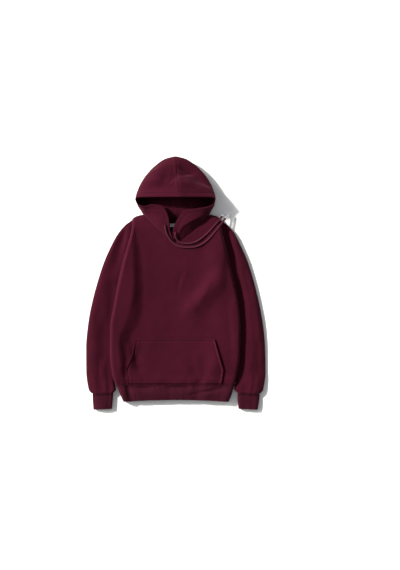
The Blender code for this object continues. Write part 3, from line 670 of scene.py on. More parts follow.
# smaller creases of the front, from shoulder to hem
frontCreases = creaseTable(
    (-137, 120, -135, -40, -1.6, 14, -0.2, -3), (-136, -60, -168, -146, -1.8, 14, -0.2, 3),
    (-188, -196, -174, -270, -3, 13, -0.2, 4), (-181, -286, -178, -364, -3.6, 10, -0.2, 2),
    (-150, -226, -131, -300, -2.6, 13, -0.3, 3), (58, -290, 82, -352, -4.2, 18, 0.3, 3),
    (150, -276, 118, -346, 2.6, 18, 0, 3), (-168, 150, -188, 20, 1.6, 13, -0.2, 4),
    (-112, 120, -104, -30, 1.5, 20, 0, 6), (146, 150, 143, 62, 1.5, 16, -0.3, 5),
    (126, 20, 70, -92, 1.6, 12, 0.2, -6), (176, -40, 150, -130, 1.2, 18, 0, 5),
    (26, 36, 6, -30, -1.3, 8, 0.3, 3), (37, 30, 20, -28, 0.9, 9, 0, 3), (-60, 70, -38, -18, 0.7, 15, 0, -5),
    (60, 96, 28, 40, 0.8, 16, 0, 4), (-88, -60, -40, -128, 0.9, 18, 0, 6),
    (-30, -70, 44, -110, -0.8, 14, 0, 6), (44, -150, 120, -178, 0.9, 12, 0, -4),
    (112, -120, 176, -168, -1.1, 15, 0, 5), (-128, 180, -78, 158, -2.6, 13, 0.2, 4),
    (-96, 190, -50, 160, 1.2, 12, 0, -3), (206, -70, 214, -210, 1.2, 11, 0, 3),
    (186, -120, 196, -280, -1.5, 12, 0.2, -4), (-212, -60, -220, -190, 1, 10, 0, 3),
    (-120, 132, -86, 44, 0.8, 17, 0, -6), (96, 150, 112, 88, -1.2, 14, 0.2, 3),
)
hemCreases = creaseTable(
    (-202, -362, -196, -318, -1.2, 7, 0.2, 2), (-181, -366, -170, -330, 1, 6, 0, -2),
    (-158, -366, -154, -344, -0.8, 6, 0, 1), (-112, -366, -118, -338, -0.9, 8, 0, 2),
    (-64, -366, -60, -346, 0.8, 9, 0, -1), (-22, -366, -30, -340, -0.8, 9, 0, 2),
    (36, -366, 44, -338, -1, 8, 0, -2), (60, -366, 76, -330, 1.1, 9, 0, 2),
    (84, -366, 102, -322, -1.4, 9, 0.2, 3), (128, -366, 138, -340, 0.9, 8, 0, -1),
    (168, -366, 178, -326, -1.2, 8, 0, 2), (196, -362, 204, -316, 1, 8, 0, 2),
)
backCreases = creaseTable(
    (-150, 120, -138, -60, 4.5, 17, 0.2, 6), (-96, 60, -120, -120, 3.4, 15, -0.2, -7),
    (-60, 196, -20, 120, 3, 13, 0, 5), (46, 200, 16, 100, 2.6, 12, 0.2, -4),
    (150, 130, 128, -20, 4.2, 16, -0.2, -6), (100, 90, 70, -60, 3, 15, 0, 8),
    (-172, -40, -186, -230, 4.2, 15, 0.2, -5), (-128, -130, -150, -280, 3.2, 14, 0, 6),
    (176, -60, 186, -250, 4, 15, 0.2, 5), (132, -90, 150, -240, 3.2, 14, 0, -7),
    (-70, -90, -20, -200, 2.2, 14, 0, 9), (40, -70, 20, -190, 2.4, 15, 0, -6),
    (84, -200, 60, -320, 2.2, 12, 0, 5), (-60, -220, -84, -330, 2.4, 12, 0, -4),
    (-14, -250, 6, -350, 1.8, 12, 0, 4), (-178, -300, -166, -360, 2.2, 9, 0, 2),
    (-112, -320, -118, -364, 1.8, 8, 0, -2), (120, -310, 130, -364, 2, 9, 0, 2),
    (170, -300, 176, -362, 2.2, 9, 0, -3), (30, -330, 34, -364, 1.6, 8, 0, 2),
)
sleeveRows = table(
    "s leftOx leftOy leftIx leftIy rightOx rightOy rightIx rightIy",
    (0, -157, 226, -210, -10, 161, 226, 213, -10), (0.03, -168, 218, -205.5, -18, 171, 219, 210.5, -19),
    (0.06, -180, 209, -204, -30, 182, 210, 209.5, -30), (0.14, -211, 172, -208, -58, 208, 183, 212.5, -60),
    (0.24, -235, 127, -210, -92, 235, 130, 214, -92), (0.36, -258, 75, -203, -130, 259, 74, 207, -130),
    (0.48, -280, 8, -195, -170, 279, 10, 198, -170), (0.6, -300, -66, -190, -210, 297, -62, 192, -210),
    (0.72, -315, -145, -194, -250, 312, -140, 195, -250),
    (0.83, -322.8, -235, -204, -300, 321, -230, 203, -300),
    (0.92, -322.5, -315, -221, -350, 322.8, -320, 216.5, -350),
    (0.98, -313, -385, -216, -384, 314, -385, 210.5, -382), (1, -300, -400, -225, -397, 302, -400, 222, -397),
)


def columnAt(at, column, rows=bodyRows):
    # a column of a table at the places that its first column holds, smooth between its rows
    return curveOf(at, next(iter(rows.values())), rows[column])


def halfWidth(y, right):
    # the body's right or left half width at y
    return np.where(right, columnAt(y, "right"), columnAt(y, "left"))


def columnShares(s):
    # column places from -1 to 1: even steps up to the neck's side, to the roll, and round it
    marks = (0, s["neckShare"], s["rollFrom"], 1)
    spans = [np.linspace(a, b, n + 1)[1:] for a, b, n in zip(marks, marks[1:], s["columns"])]
    half = np.concatenate([[0], *spans])
    return np.concatenate([-half[:0:-1], half])


def shoulderLine(share, s):
    # level with the neck's side up to there, and beyond it lower by the drop x the share past it ^ its power
    past = np.clip((np.abs(share) - s["neckShare"]) / (1 - s["neckShare"]), 0, 1)
    return s["neckSide"] - s["shoulderDrop"] * past ** s["dropPower"]


def neckline(share, front, s):
    # where a column ends: the shoulder line less the neck's depth x (1 - share of the neck ^ power)
    low, power = (s["neckFront"], s["frontPower"]) if front else (s["neckBack"], s["backPower"])
    rise = 1 - np.minimum(np.abs(share) / s["neckShare"], 1) ** power
    return shoulderLine(share, s) - (s["neckSide"] - low) * rise


def highShares(s):
    # rows above the underarm as shares of the way up, 1 - (1 - even share) ^ 1.4, closer together at the seam
    return 1 - (1 - np.linspace(0, 1, s["highRows"] + 1)[1:]) ** s["crowd"]


def rowHeights(columns, front, s):
    # y of each point: even rows up to the underarm, and above it underarm + share x (neckline - underarm)
    low = np.linspace(s["hemSeam"], s["underarm"], s["lowRows"] + 1)
    low = np.repeat(low[:, None], len(columns), axis=1)
    top = neckline(columns, front, s)
    return np.concatenate([low, s["underarm"] + (top - s["underarm"]) * highShares(s)[:, None]])


def frontTop(x, y, s=topSettings):
    # height of the front away from its edges: table + lifts over sleeves and at the neck + creases
    # + bulge above the hem - groove above the pocket
    share = np.abs(x) / halfWidth(y, x > 0)
    overSleeve = ramp(y, *s["alongSleeve"]) * (1 - s["pastShare"] * ramp(y, *s["pastSleeve"]))
    lift = s["sleeveLift"] * overSleeve * ramp(share, *s["acrossSleeve"]) * (x > 0)
    step, wide, high = (columnAt(y, k, stepRows) for k in ("x", "wide", "high"))
    lift = lift + high * (1 - ramp(x, step - wide, step + wide))
    neck = s["neck"] * bell(x, 0, s["neckX"]) * bell(y, s["neckAt"], s["neckY"])
    fine = creases(x, y, frontCreases) + creases(x, y, hemCreases)
    fine = fine + ripples(x, y, *s["ripples"]) + s["hem"] * bell(y, s["hemAt"], s["hemWidth"])
    groove = s["groove"] * bell(y, s["grooveAt"], s["grooveWidth"])
    groove = groove * ramp(s["grooveHalf"] - np.abs(x), *s["grooveEnd"])
    return columnAt(y, "top") + lift + neck + creases(x, y, frontFolds) * s["foldShare"] + fine - groove


def across(columns, y, wideLeft, wideRight, roll, s):
    # x of each column, even up to the roll and then roll width x sin(turn); and the turn over the side, 0 to 1
    wide = np.where(columns > 0, wideRight, wideLeft)
    share = np.abs(columns)
    turn = np.clip((share - s["rollFrom"]) / s["rollSpan"], 0, 1)
    over = s["roll"] * ((1 - roll) * turn + roll * np.sin(turn * math.pi / 2))
    return np.sign(columns) * ((wide - s["roll"]) * np.minimum(share / s["rollFrom"], 1) + over), turn


def shoulderFade(columns, y, s):
    # 0 at the shoulder seam, 1 a roll's width away, a quarter circle between
    off = np.clip((shoulderLine(columns, s) - y) / s["topRoll"], 0, 1)
    return np.sqrt(1 - (1 - off) ** 2)


def frontPanel(columns, s):
    # z = side + (crown - side) x cos(turn), where the crown fades to the seam at the shoulder
    y = rowHeights(columns, True, s)
    x, turn = across(columns[None, :], y, columnAt(y, "left"), columnAt(y, "right"), 1.0, s)
    seam = s["shoulderSeam"] + s["seamLift"]
    crown = seam + (frontTop(x, y) - seam) * shoulderFade(columns, y, s)
    side = columnAt(y, "side") + s["seamLift"]
    return points(x, y, side + (crown - side) * np.cos(turn * math.pi / 2))


def backRoll(y, s):
    # how much of a side roll the back has: all of it below the underarm, little along the armhole
    return np.where(y > s["underarm"], columnAt(y, "roll", armholeRows), 1.0)


def innerFold(y, side):
    # how far out a sleeve's inner fold lies under the body: its table read at y
    return curveOf(-y, -sleeveRows[f"{side}Iy"], np.abs(sleeveRows[f"{side}Ix"]))


def backFloor(x, y, s):
    # height of the back: the tucked sleeve's height where one lies under it, + its creases
    inner = np.where(x > 0, innerFold(y, "right"), innerFold(y, "left"))
    tucked = ramp(y, *s["tuckStart"]) * (1 - ramp(y, *s["tuckEnd"]))
    tucked = tucked * ramp(np.abs(x), inner - s["tuckNear"], inner - s["tuckFull"])
    return (s["tuck"] + s["overSleeve"]) * tucked + creases(x, y, backCreases)


def backPanel(columns, s):
    # z = floor + (side - floor) x roll x (1 - cos(turn)), where the floor fades to the seam at the shoulder
    y = rowHeights(columns, False, s)
    high = y > s["underarm"]
    wide = [np.where(high, columnAt(y, k, armholeRows), columnAt(y, k)) for k in ("left", "right")]
    roll = backRoll(y, s)
    x, turn = across(columns[None, :], y, *wide, roll, s)
    middle = (1 - np.abs(columns) / s["neckShare"]).clip(0, 1)
    x = x + s["neckBackX"] * middle * ramp(y, *s["neckBackSpan"])
    seam = s["shoulderSeam"] - s["seamLift"]
    floor = seam + (backFloor(x, y, s) - seam) * shoulderFade(columns, y, s)
    side = columnAt(y, "side") - s["seamLift"]
    return points(x, y, floor + (side - floor) * roll * (1 - np.cos(turn * math.pi / 2)))


def panelNormals(grid, columns, roll, lean, facing, s):
    # the grid's own normals; at a side seam the cross product of the seam and the way the cloth turns there,
    # leaning up or down at an armhole, and at a shoulder the level normal of the seam
    normals = facing * gridNormals(grid)
    for column, beside in ((0, 1), (-1, -2)):
        run = np.gradient(grid[:, column], axis=0)
        turned = facing * upwards * roll[:, None]
        flat = unit((grid[:, column] - grid[:, beside]) * levelOnly) * (1 - roll[:, None])
        seam = unit(np.cross(run, turned - flat)) if column else unit(np.cross(turned - flat, run))
        normals[:, column] = facing * unit(seam + lean[:, None] * upwards)
    for shoulder in (columns > s["neckShare"] - 0.001, columns < 0.001 - s["neckShare"]):
        run = np.gradient(grid[-1, shoulder], axis=0) * levelOnly
        normals[-1, shoulder] = unit(np.cross(upwards, run))
    normals[0] = unit(normals[0] * [1, 0, 1])
    return normals


def trimmed(grid, gap):
    # the grid with each border drawn back by gap, which leaves room for the seam
    cut = grid.copy()
    cut[0], cut[-1] = beyond(grid[0], grid[1], -gap), beyond(grid[-1], grid[-2], -gap)
    cut[:, 0], cut[:, -1] = beyond(cut[:, 0], cut[:, 1], -gap), beyond(cut[:, -1], cut[:, -2], -gap)
    return cut


def dressed(grid, normals, seed, s, borders=(0, 1, 2, 3)):
    # seam relief: grid + normal x (puckers - a bell-shaped ditch) for each sewn border
    down, over, distances = edgeDistances(grid)
    lift = np.zeros(grid.shape[:2])
    for k in borders:
        run = over if k < 2 else down
        lift += pucker(run, distances[k], seed + k) - s["ditch"] * bell(distances[k], 0, s["ditchWidth"])
    return onFloor(grid + normals * lift[..., None])


def declare(piece, nodes):
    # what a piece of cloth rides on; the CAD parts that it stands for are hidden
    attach(piece, "root")
    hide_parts(*nodes)


def makeBody(s):
    # both panels: each is trimmed at its seams, dressed and closed
    columns = columnShares(s)
    front, back = frontPanel(columns, s), backPanel(columns, s)
    rolled = backRoll(front[:, 0, 1], s)
    over = panelNormals(front, columns, np.ones(len(front)), 1 - rolled, 1.0, s)
    under = panelNormals(back, columns, rolled, s["leanMost"] * rolled * (1 - rolled), -1.0, s)
    pieces = []
    for name, grid, normals, step, seed in (
        ("bodyFront", front, over, 1, 11), ("bodyBack", back, under, -1, 23)
    ):
        outer = dressed(trimmed(grid, s["seam"] / 2)[:, ::step], normals[:, ::step], seed, s)
        down, wide, (fromHem, fromTop, *sides) = edgeDistances(outer)
        # the hem, neck and shoulders are stitched, and the armholes but not the side seams
        low = np.arange(len(outer))[:, None] < s["lowRows"]
        armholes = [(down, np.where(low, farOff, side)) for side in sides]
        seam = seamMap((wide, fromHem), (wide, fromTop), *armholes)
        pieces.append(makeCloth(name, outer, s["cloth"], normals[:, ::step], finishes["fleece"], seam))
    return pieces, (front, back, over, under, columns)


(bodyFront, bodyBack), body = makeBody(bodySettings)
declare(bodyFront, ["front_body"])
declare(bodyBack, ["back_body"])
print("body made")

sleeveSettings = {
    "cloth": 2.4, "rows": 200, "outerRoll": 26.0, "innerRoll": 10.0, "ditch": 1.5,
    "ditchWidth": 3.0, "cuffHeight": 25.0, "full": 22.5, "shoulderFall": 1.5, "rightFall": 8.0, "dip": 8.0,
    "dipAt": 17.0, "dipWidth": 12.0, "besideDrop": 1.0, "middle": 0.46, "even": 0.65, "creaseShare": 1.25,
    "seed": 41, "ripples": (31, 50, 0.4), "sideSpan": (-12, 40), "shoulderSpan": (120, 220),
    "fallSpan": (30, 110), "dipSpan": (-160, -20), "dipOff": (0, 9), "fullFrom": 2, "fullAt": (60, 45),
    "spreadSpan": (0, 0.3), "cuffSpan": (0.9, 1.0), "innerSpan": (0.6, 1), "freeAcross": (4, 26),
    "freeAlong": (0.02, 0.07), "reach": 0.12, "reachLess": 0.06, "reachSpan": (0.5, 1), "ownSpan": (0.05, 0.14),
}
cuffSettings = {
    "rib": 3.2, "rows": 48, "ditch": 1.5, "ditchWidth": 3.0, "rimRows": 5, "seed": 47,
    "wave": (0.9, 7.5, 0.03), "swell": (0.7, 13, -0.05), "waveSpan": (0, 14), "topSpan": (10, 20),
    "seamSpan": (0, 8),
}
cuffRows = table(
    "along leftOut leftIn rightOut rightIn height",
    (0, -300, -225, 302, 222, 25), (8, -299.7, -225.6, 301.3, 222.1, 18.5),
    (22, -299, -226.5, 300, 222.2, 20), (55, -296.5, -229.5, 294.5, 225, 22),
)
sleeveCreases = {
    "left": creaseTable(
        (-180, 196, -200, 96, -5.5, 22, 0.2, 3), (-214, 176, -238, 74, 1.2, 13, 0.2, 5),
        (-216, 60, -240, -40, -0.5, 16, 0, 6), (-236, 60, -262, -56, 0.6, 18, 0, -6),
        (-232, -60, -250, -170, 0.6, 18, 0.2, 5), (-268, -30, -290, -150, -0.6, 18, 0.2, -5),
        (-250, -150, -262, -262, -0.9, 15, 0, 5), (-290, -170, -300, -290, 1, 14, 0, -4),
        (-232, -240, -258, -330, 1.4, 11, 0, 5), (-276, -280, -268, -380, -1.5, 8, 0.2, 3),
        (-252, -340, -250, -396, 1.3, 7, 0, 2), (-300, -320, -288, -392, 1.3, 8, 0, -3),
        (-236, -366, -236, -398, -1, 6, 0, 1),
    ),
    "right": creaseTable(
        (178, 196, 206, 140, 2.6, 12, 0.2, 5), (190, 150, 214, 60, -1.8, 12, 0.2, -4),
        (214, 150, 240, 60, 1.3, 12, 0, 5), (214, 30, 236, -70, 1.5, 12, 0.2, -5),
        (250, 40, 272, -60, -1.6, 12, 0, 5), (238, -80, 252, -190, -1.4, 11, 0.2, 4),
        (282, -80, 298, -190, 1.5, 12, 0, -5), (246, -200, 262, -300, 1.4, 12, 0, 5),
        (296, -220, 300, -320, -1.4, 10, 0.2, 3), (232, -290, 252, -372, -1.2, 9, 0, 3),
        (272, -320, 266, -394, 1.5, 8, 0, -2), (302, -330, 290, -394, 1.2, 8, 0, 3),
        (246, -372, 246, -398, -1, 6, 0, 1),
    ),
}
underCreases = creaseTable(
    (-180, 150, -226, 20, 2.6, 12, 0.2, 5), (-214, 40, -250, -90, 2.4, 12, 0, -5),
    (-252, -80, -270, -210, 2.6, 12, 0.2, 4), (-246, -230, -262, -350, 2.4, 11, 0, -4),
    (180, 150, 222, 10, 2.6, 12, 0.2, -5), (216, 20, 250, -110, 2.4, 12, 0, 5),
    (254, -100, 268, -230, 2.6, 12, 0, -4), (250, -250, 262, -360, 2.4, 11, 0.2, 4),
)


def sleeveTop(x, y, right, tuck, s):
    # height of a sleeve: low + (full - low) x a ramp away from the body; the right one falls and dips beyond it
    beside = columnAt(y, "side") - s["besideDrop"]
    low = tuck + (beside - tuck) * ramp(y, *s["sideSpan"])
    off = np.abs(x) - halfWidth(y, right)
    full = s["full"] - s["shoulderFall"] * ramp(y, *s["shoulderSpan"])
    full = full - right * s["rightFall"] * ramp(off, *s["fallSpan"])
    dip = s["dip"] * right * bell(off, s["dipAt"], s["dipWidth"]) * ramp(y, *s["dipSpan"])
    return low + (full - low) * ramp(off, s["fullFrom"], s["fullAt"][right]) - dip * ramp(off, *s["dipOff"])


def sleeveRings(side, armhole, s, b):
    # rings from armhole to cuff, each from the outer fold over the top to the inner fold and back under:
    # z = middle +- half height x swell, where the swell is a quarter circle at either fold
    right, even = side == "right", np.linspace(0, 1, s["rows"] + 1)
    t = (1 - np.cos(even * math.pi)) / 2
    along = ((1 - s["even"]) * t + s["even"] * even)[:, None]
    ox, oy, ix, iy = (columnAt(along, side + end, sleeveRows) for end in ("Ox", "Oy", "Ix", "Iy"))
    w = (1 - np.concatenate([[0], highShares(b)])[::-1])[None, :]
    w = w + (0.5 - 0.5 * np.cos(math.pi * w) - w) * ramp(along, *s["spreadSpan"])
    x, y = ox + (ix - ox) * w, oy + (iy - oy) * w
    wide = np.hypot(ix - ox, iy - oy)
    outer, inner = (
        np.clip(part * wide / roll, 0, 1) for part, roll in ((w, s["outerRoll"]), (1 - w, s["innerRoll"]))
    )
    swell = np.sqrt(1 - (1 - outer) ** 2) * np.sqrt(1 - (1 - inner) ** 2)
    cuffed = ramp(along, *s["cuffSpan"])
    full = sleeveTop(x, y, right, b["tuck"], s)
    full = full + (s["cuffHeight"] - full) * cuffed
    level = s["middle"] * full
    middle = level + (0.5 * b["tuck"] - level) * ramp(w, *s["innerSpan"]) * (1 - cuffed)
    # creases count where the sleeve is not under the body
    free = ramp(np.abs(x) - halfWidth(y, right), *s["freeAcross"]) * ramp(along, *s["freeAlong"])
    lift = (s["creaseShare"] * creases(x, y, sleeveCreases[side]) + ripples(x, y, *s["ripples"])) * free
    sink = creases(x, y, underCreases) * free
    upper = points(x, y, middle + (full + lift - middle) * swell)
    lower = points(x, y, middle - (middle - sink) * swell)[:, -2:0:-1]
    rings = np.concatenate([upper, lower, upper[:, :1]], axis=1)
    # near the armhole the rings move over to its own shape
    reach = s["reach"] - s["reachLess"] * ramp(np.concatenate([w, w[:, -2::-1]], axis=1), *s["reachSpan"])
    fade = np.clip(1 - along / reach, 0, 1)[..., None] ** 2
    rings = onFloor(rings + (armhole - rings[0]) * fade)
    facing = unit(points(ox - ix, oy - iy, 0 * ox)) * (inner - outer)[..., None]
    rise = swell[..., None] * upwards
    above, below = facing + rise, facing - rise
    return rings, unit(np.concatenate([above, below[:, -2:0:-1], above[:, :1]], axis=1))


def cuffRings(side, seam, s, gap):
    # the sleeve's last ring carried on with the table's widths and heights, + two waves on its upper side
    along = np.linspace(0, 1, s["rows"] + 1) * cuffRows["along"][-1]
    out, into, high = (columnAt(along, k, cuffRows) for k in (f"{side}Out", f"{side}In", "height"))
    along = along[:, None]
    t = (seam[:, 0] - into[0]) / (out[0] - into[0])
    x = into[:, None] + t * (out - into)[:, None]
    y = seam[:, 1] - along - gap * (1 - along / along[-1])
    wave, swell = (rise * np.sin(x / long + slant * y) for rise, long, slant in (s["wave"], s["swell"]))
    wave = (wave * ramp(along, *s["waveSpan"]) + swell) * ramp(seam[:, 2], *s["topSpan"])
    z = seam[:, 2] * (high / high[0])[:, None] + wave * ramp(along, *s["seamSpan"])
    return points(x, y, z)


def makeSleeve(side, body, s, b):
    # a sleeve from the armhole that both panels leave, and the cuff that its last ring starts
    front, back, over, under, _ = body
    column, beside = (-1, -2) if side == "right" else (0, 1)
    low, gap = b["lowRows"], b["seam"] / 2
    top = beyond(front[low:, column], front[low:, beside], gap)[::-1]
    below = beyond(back[low:, column], back[low:, beside], gap)
    top[0], top[-1] = (top[0] + below[-1]) / 2, (top[-1] + below[0]) / 2
    armhole = np.concatenate([top, below[1:-1], top[:1]])
    seamNormals = np.concatenate([over[low:, column][::-1], under[low + 1 : -1, column], over[-1:, column]])
    rings, plain = sleeveRings(side, armhole, s, b)
    flip = slice(None) if side == "right" else slice(None, None, -1)
    rings = rings[:, flip]
    # near the armhole the cloth is offset by the smooth normals, elsewhere by its own
    share = ramp(np.linspace(0, 1, len(rings)), *s["ownSpan"])[:, None, None]
    normals = unit(plain[:, flip] * (1 - share) + gridNormals(rings) * share)
    normals[0] = seamNormals[flip]
    normals[-1] = unit(normals[-1] * [1, 0, 1])
    cuff = cuffRings(side, rings[-1], cuffSettings, gap)
    rings[-1] = beyond(rings[-1], rings[-2], -gap)
    outer = dressed(rings, normals, s["seed"], s, borders=(0, 1))
    _, around, (_, fromCuff, *_) = edgeDistances(outer)
    seam = seamMap((around, fromCuff))
    name = side.capitalize()
    sleeve = makeCloth(f"sleeve{name}", outer, s["cloth"], normals, finishes["fleece"], seam)
    cuffNormals = gridNormals(cuff)
    cuffNormals[0] = normals[-1]
    return sleeve, makeRib(f"cuff{name}", cuff, cuffNormals, cuffSettings)


def makeRib(name, rings, normals, s):
    # a ribbed tube: dressed at its first ring, with a half-round rim past its last
    outer = dressed(rings, normals, s["seed"], s, borders=(0,))
    down, around = arcs(outer)
    seam = (around, down)
    return makeCloth(name, outer, s["rib"], normals, finishes["rib"], seam, rimRows=s["rimRows"])


for side in ("left", "right"):
    sleeve, cuff = makeSleeve(side, body, sleeveSettings, bodySettings)
    declare(sleeve, [f"sleeve_{side}"])
    declare(cuff, [f"cuff_{side}"])
print("sleeves and cuffs made")

hemSettings = {
    "rib": 3.2, "rows": 48, "ditch": 1.0, "ditchWidth": 2.6, "swell": 1.4, "rimRows": 5, "seed": 61,
    "topSpan": (18, 30), "creaseSpan": (0, 7),
}
hemRows = table(
    "along left right high bow",
    (0, 217, 213, 33, 0), (8, 212, 209.5, 30, 1), (34, 201, 201, 34, 3), (61, 188.5, 190.5, 31, 7),
)
ribCreases = creaseTable(
    (-172, -366, -163, -424, -7, 10, -0.2, 2), (-196, -368, -186, -424, 1.2, 8, 0, -2),
    (-120, -372, -112, -420, -1, 10, 0, 2), (-80, -370, -66, -424, 0.9, 12, 0, 2),
    (-30, -372, -22, -420, -0.9, 11, 0, -2), (24, -370, 34, -424, 0.9, 12, 0, 2),
    (70, -372, 66, -420, -1, 10, 0, 2), (112, -370, 104, -424, 1, 11, 0, -2),
    (150, -372, 140, -420, -1.2, 9, 0, 2), (186, -368, 172, -424, 1.2, 8, 0, -2),
    (-150, -377, -96, -379, -4.4, 6, 0, 1), (-24, -377, 42, -378, -4.6, 6, 0, -1),
    (58, -400, 164, -378, -4.4, 6.5, 0, 2), (-86, -384, -48, -379, 1.4, 6, 0, 1),
    (60, -380, 130, -384, 1.2, 6, 0, 0),
)


def makeHem(body, s, b):
    # rings carried on from both panels' lowest rows: x = the table's width x share, y = seam - along + bow x
    # (1 - share^2), z = seam's height x the table's + creases + a swell between seam and fold
    front, back, over, under, _ = body
    seam = np.concatenate([front[0], back[0, -2::-1]])
    normals = np.concatenate([over[0], under[0, -2::-1]])
    right = seam[:, 0] > 0
    share = np.where(right, seam[:, 0] / hemRows["right"][0], -seam[:, 0] / hemRows["left"][0])
    along = np.linspace(0, hemRows["along"][-1], s["rows"] + 1)
    read = {k: columnAt(along, k, hemRows)[:, None] for k in hemRows}
    along = along[:, None]
    x = np.where(right, read["right"], -read["left"]) * share
    y = b["hemSeam"] - along - b["seam"] / 2 + read["bow"] * (1 - share**2)
    top = ramp(seam[:, 2], *s["topSpan"])
    z = seam[:, 2] * (read["high"] / read["high"][0])
    z = z + creases(x, y, ribCreases) * top * ramp(along, *s["creaseSpan"])
    z = z + s["swell"] * top * np.sin(np.pi * along / along[-1])
    rings = points(x, y, z)[:, ::-1]
    ringNormals = gridNormals(rings)
    ringNormals[0] = normals[::-1]
    return makeRib("hemRib", rings, ringNormals, s)


declare(makeHem(body, hemSettings, bodySettings), ["hem_rib"])
print("hem made")

pocketSettings = {
    "columns": 150, "rows": 100, "ditch": 0.6, "ditchWidth": 1.6, "edge": 0.12, "leftMore": 1.3,
    "deepest": -6.0, "shadeShare": 0.5, "powers": (7, 4), "seed": 71, "ripples": (77, 70, 0.4),
    "welt": 2.0, "weltWidth": 4.0, "groove": 0.9, "grooveAt": 8.5, "grooveWidth": 2.4,
}
pocketRows = table(
    "y left right lift",
    (-362, 172, 163, 0), (-340, 176, 167, 0.2), (-312, 180, 171, 1.8), (-284, 166, 162, 4.8),
    (-256, 156, 154, 5.4), (-228, 149, 146, 4.6), (-201, 146, 139, 0.8),
)
pocketShade = creaseTable(
    (-146, -302, -124, -222, -6, 15, 0.2, 3), (-118, -216, -84, -262, 1, 20, 0, 5),
    (-60, -240, 30, -268, -0.9, 22, 0, 6), (80, -358, 92, -296, -6, 19, 0, 4),
    (70, -356, 128, -330, -1.5, 14, 0, 4), (138, -330, 126, -250, 4.5, 19, 0, 4),
    (138, -216, 146, -270, 1, 12, 0, -3), (-96, -352, -40, -322, 1, 18, 0, 5),
    (-140, -340, -100, -352, -1, 12, 0, 3),
)


def makePocket(s, b):
    # a panel on the front: z = front + cloth + lift x (share^7 + 1.3 x share^4 at the left) + half its creases
    even = np.linspace(0, 1, s["columns"] // 2 + 1)
    half = (np.sin(even * math.pi / 2) + even) / 2
    share = np.concatenate([-half[:0:-1], half])[None, :]
    y = np.linspace(pocketRows["y"][0], pocketRows["y"][-1], s["rows"] + 1)[:, None]
    left, right = (np.interp(y, pocketRows["y"], pocketRows[k]) for k in ("left", "right"))
    lift = columnAt(y, "lift", pocketRows)
    x, y = np.broadcast_arrays(np.where(share > 0, right, left) * share, y)
    own = (creases(x, y, pocketShade) + ripples(x, y, *s["ripples"])) * ramp(1 - np.abs(share), 0, s["edge"])
    steep, mild = s["powers"]
    raised = lift * (np.abs(share) ** steep + s["leftMore"] * np.where(share < 0, -share, 0) ** mild)
    z = frontTop(x, y) + b["lay"] + b["cloth"] + raised + np.maximum(own, s["deepest"]) * s["shadeShare"]
    grid = points(x, y, z)
    normals = gridNormals(grid)
    outer = dressed(grid, normals, s["seed"], s, borders=(0,))
    # a raised welt along the free and top edges, with a groove where it is stitched down
    edgeDist = np.min(edgeDistances(outer)[2][1:], axis=0)
    welt = s["welt"] * bell(edgeDist, 0, s["weltWidth"])
    welt = welt - s["groove"] * bell(edgeDist, s["grooveAt"], s["grooveWidth"])
    outer = outer + normals * welt[..., None]
    down, wide, (low, top, *sides) = edgeDistances(outer)
    seam = seamMap((wide, low), (wide, top), *((down, side) for side in sides))
    return makeCloth("kangarooPocket", outer, b["cloth"], normals, finishes["fleece"], seam)


pocket = makePocket(pocketSettings, bodySettings)
declare(pocket, ["kangaroo_pocket"])
print("pocket made")

hoodSettings = {
    "cloth": 2.4, "channel": 4.8, "channelWidth": 14.0, "rows": 150, "ditch": 0.9, "ditchWidth": 2.4,
    "crowd": 0.6, "centre": 2.2, "creaseShare": 1.5, "ripples": (91, 45, 0.35), "line": 1.0,
    "lineWidth": 2.2, "thinAt": 8.8, "thinWidth": 0.9, "stitchAt": 2.5, "rimRows": 5, "seed": 81,
    "sideAt": 8, "topAt": 14, "channelEdge": 4, "doubledSpan": (2, 12), "upperLevels": (0.52, 0.62),
    "upperRim": (24, 60), "lowerLevels": (0.3, 0.45), "lowerNeck": (6, 40), "centreX": (-1.5, 4),
    "centreY": (364, 388), "lineSpan": (3, 14),
}
hoodRows = {
    "right": table(
        "share foldX foldY foldZ rimX rimY rimZ bag under",
        (0, 0, 152, 41, -2, 160, 46, 0, 0), (1, 4, 162, 45, -9, 172, 51, 0, 0),
        (2, 11, 178, 52, -7, 192, 56, 0, 0), (3, 24, 201, 61, 3, 218, 60, 0, 0),
        (4, 46, 217, 65, 18, 243, 61, 0, 0), (5, 70, 230, 64, 38, 260, 62, 0, 0),
        (6, 93, 240, 57, 76, 264, 64, 0, 0), (7, 113, 250, 43, 112, 268, 66, 0.05, 0),
        (8, 139, 279, 32, 139.5, 283, 68, 0.4, 14), (9, 142.5, 306, 30, 143, 301, 78, 0.85, 26),
        (10, 133, 340, 30, 130, 309, 84, 1, 34), (11, 109, 382, 30, 105, 309, 92, 1, 38),
        (12, 75, 419, 30, 74, 309, 100, 1, 38), (13, 34, 446, 31, 42, 309, 107, 1, 38),
        (14, -1, 455, 32, 13, 309, 114.5, 1, 38),
    ),
    "left": table(
        "share foldX foldY foldZ rimX rimY rimZ bag under",
        (0, -8, 153, 42, -16, 161, 45.5, 0, 0), (1, -18, 162, 44, -21, 175, 50, 0, 0),
        (2, -30, 177, 48, -23, 197, 54, 0, 0), (3, -39, 192, 51, -25, 222, 58, 0, 0),
        (4, -52, 208, 52, -33, 252, 60, 0, 0), (5, -70, 223, 49, -51, 275, 62, 0, 0),
        (6, -88, 238, 44, -83, 278, 62, 0, 0), (7, -112, 249, 36, -114, 271, 60, 0.05, 0),
        (8, -138, 279, 30, -138.5, 282, 62, 0.4, 16), (9, -144, 306, 30, -145, 300, 70, 0.85, 30),
        (10, -134, 340, 30, -130, 309, 80, 1, 36), (11, -110, 382, 30, -103, 309, 91, 1, 38),
        (12, -76, 419, 30, -66, 309, 101, 1, 38), (13, -36, 446, 31, -27, 309, 109, 1, 38),
        (14, -1, 455, 32, 13, 309, 114.5, 1, 38),
    ),
}
hoodKnots = np.array([0, 0.17, 0.36, 0.5, 0.6, 0.78, 1.0])
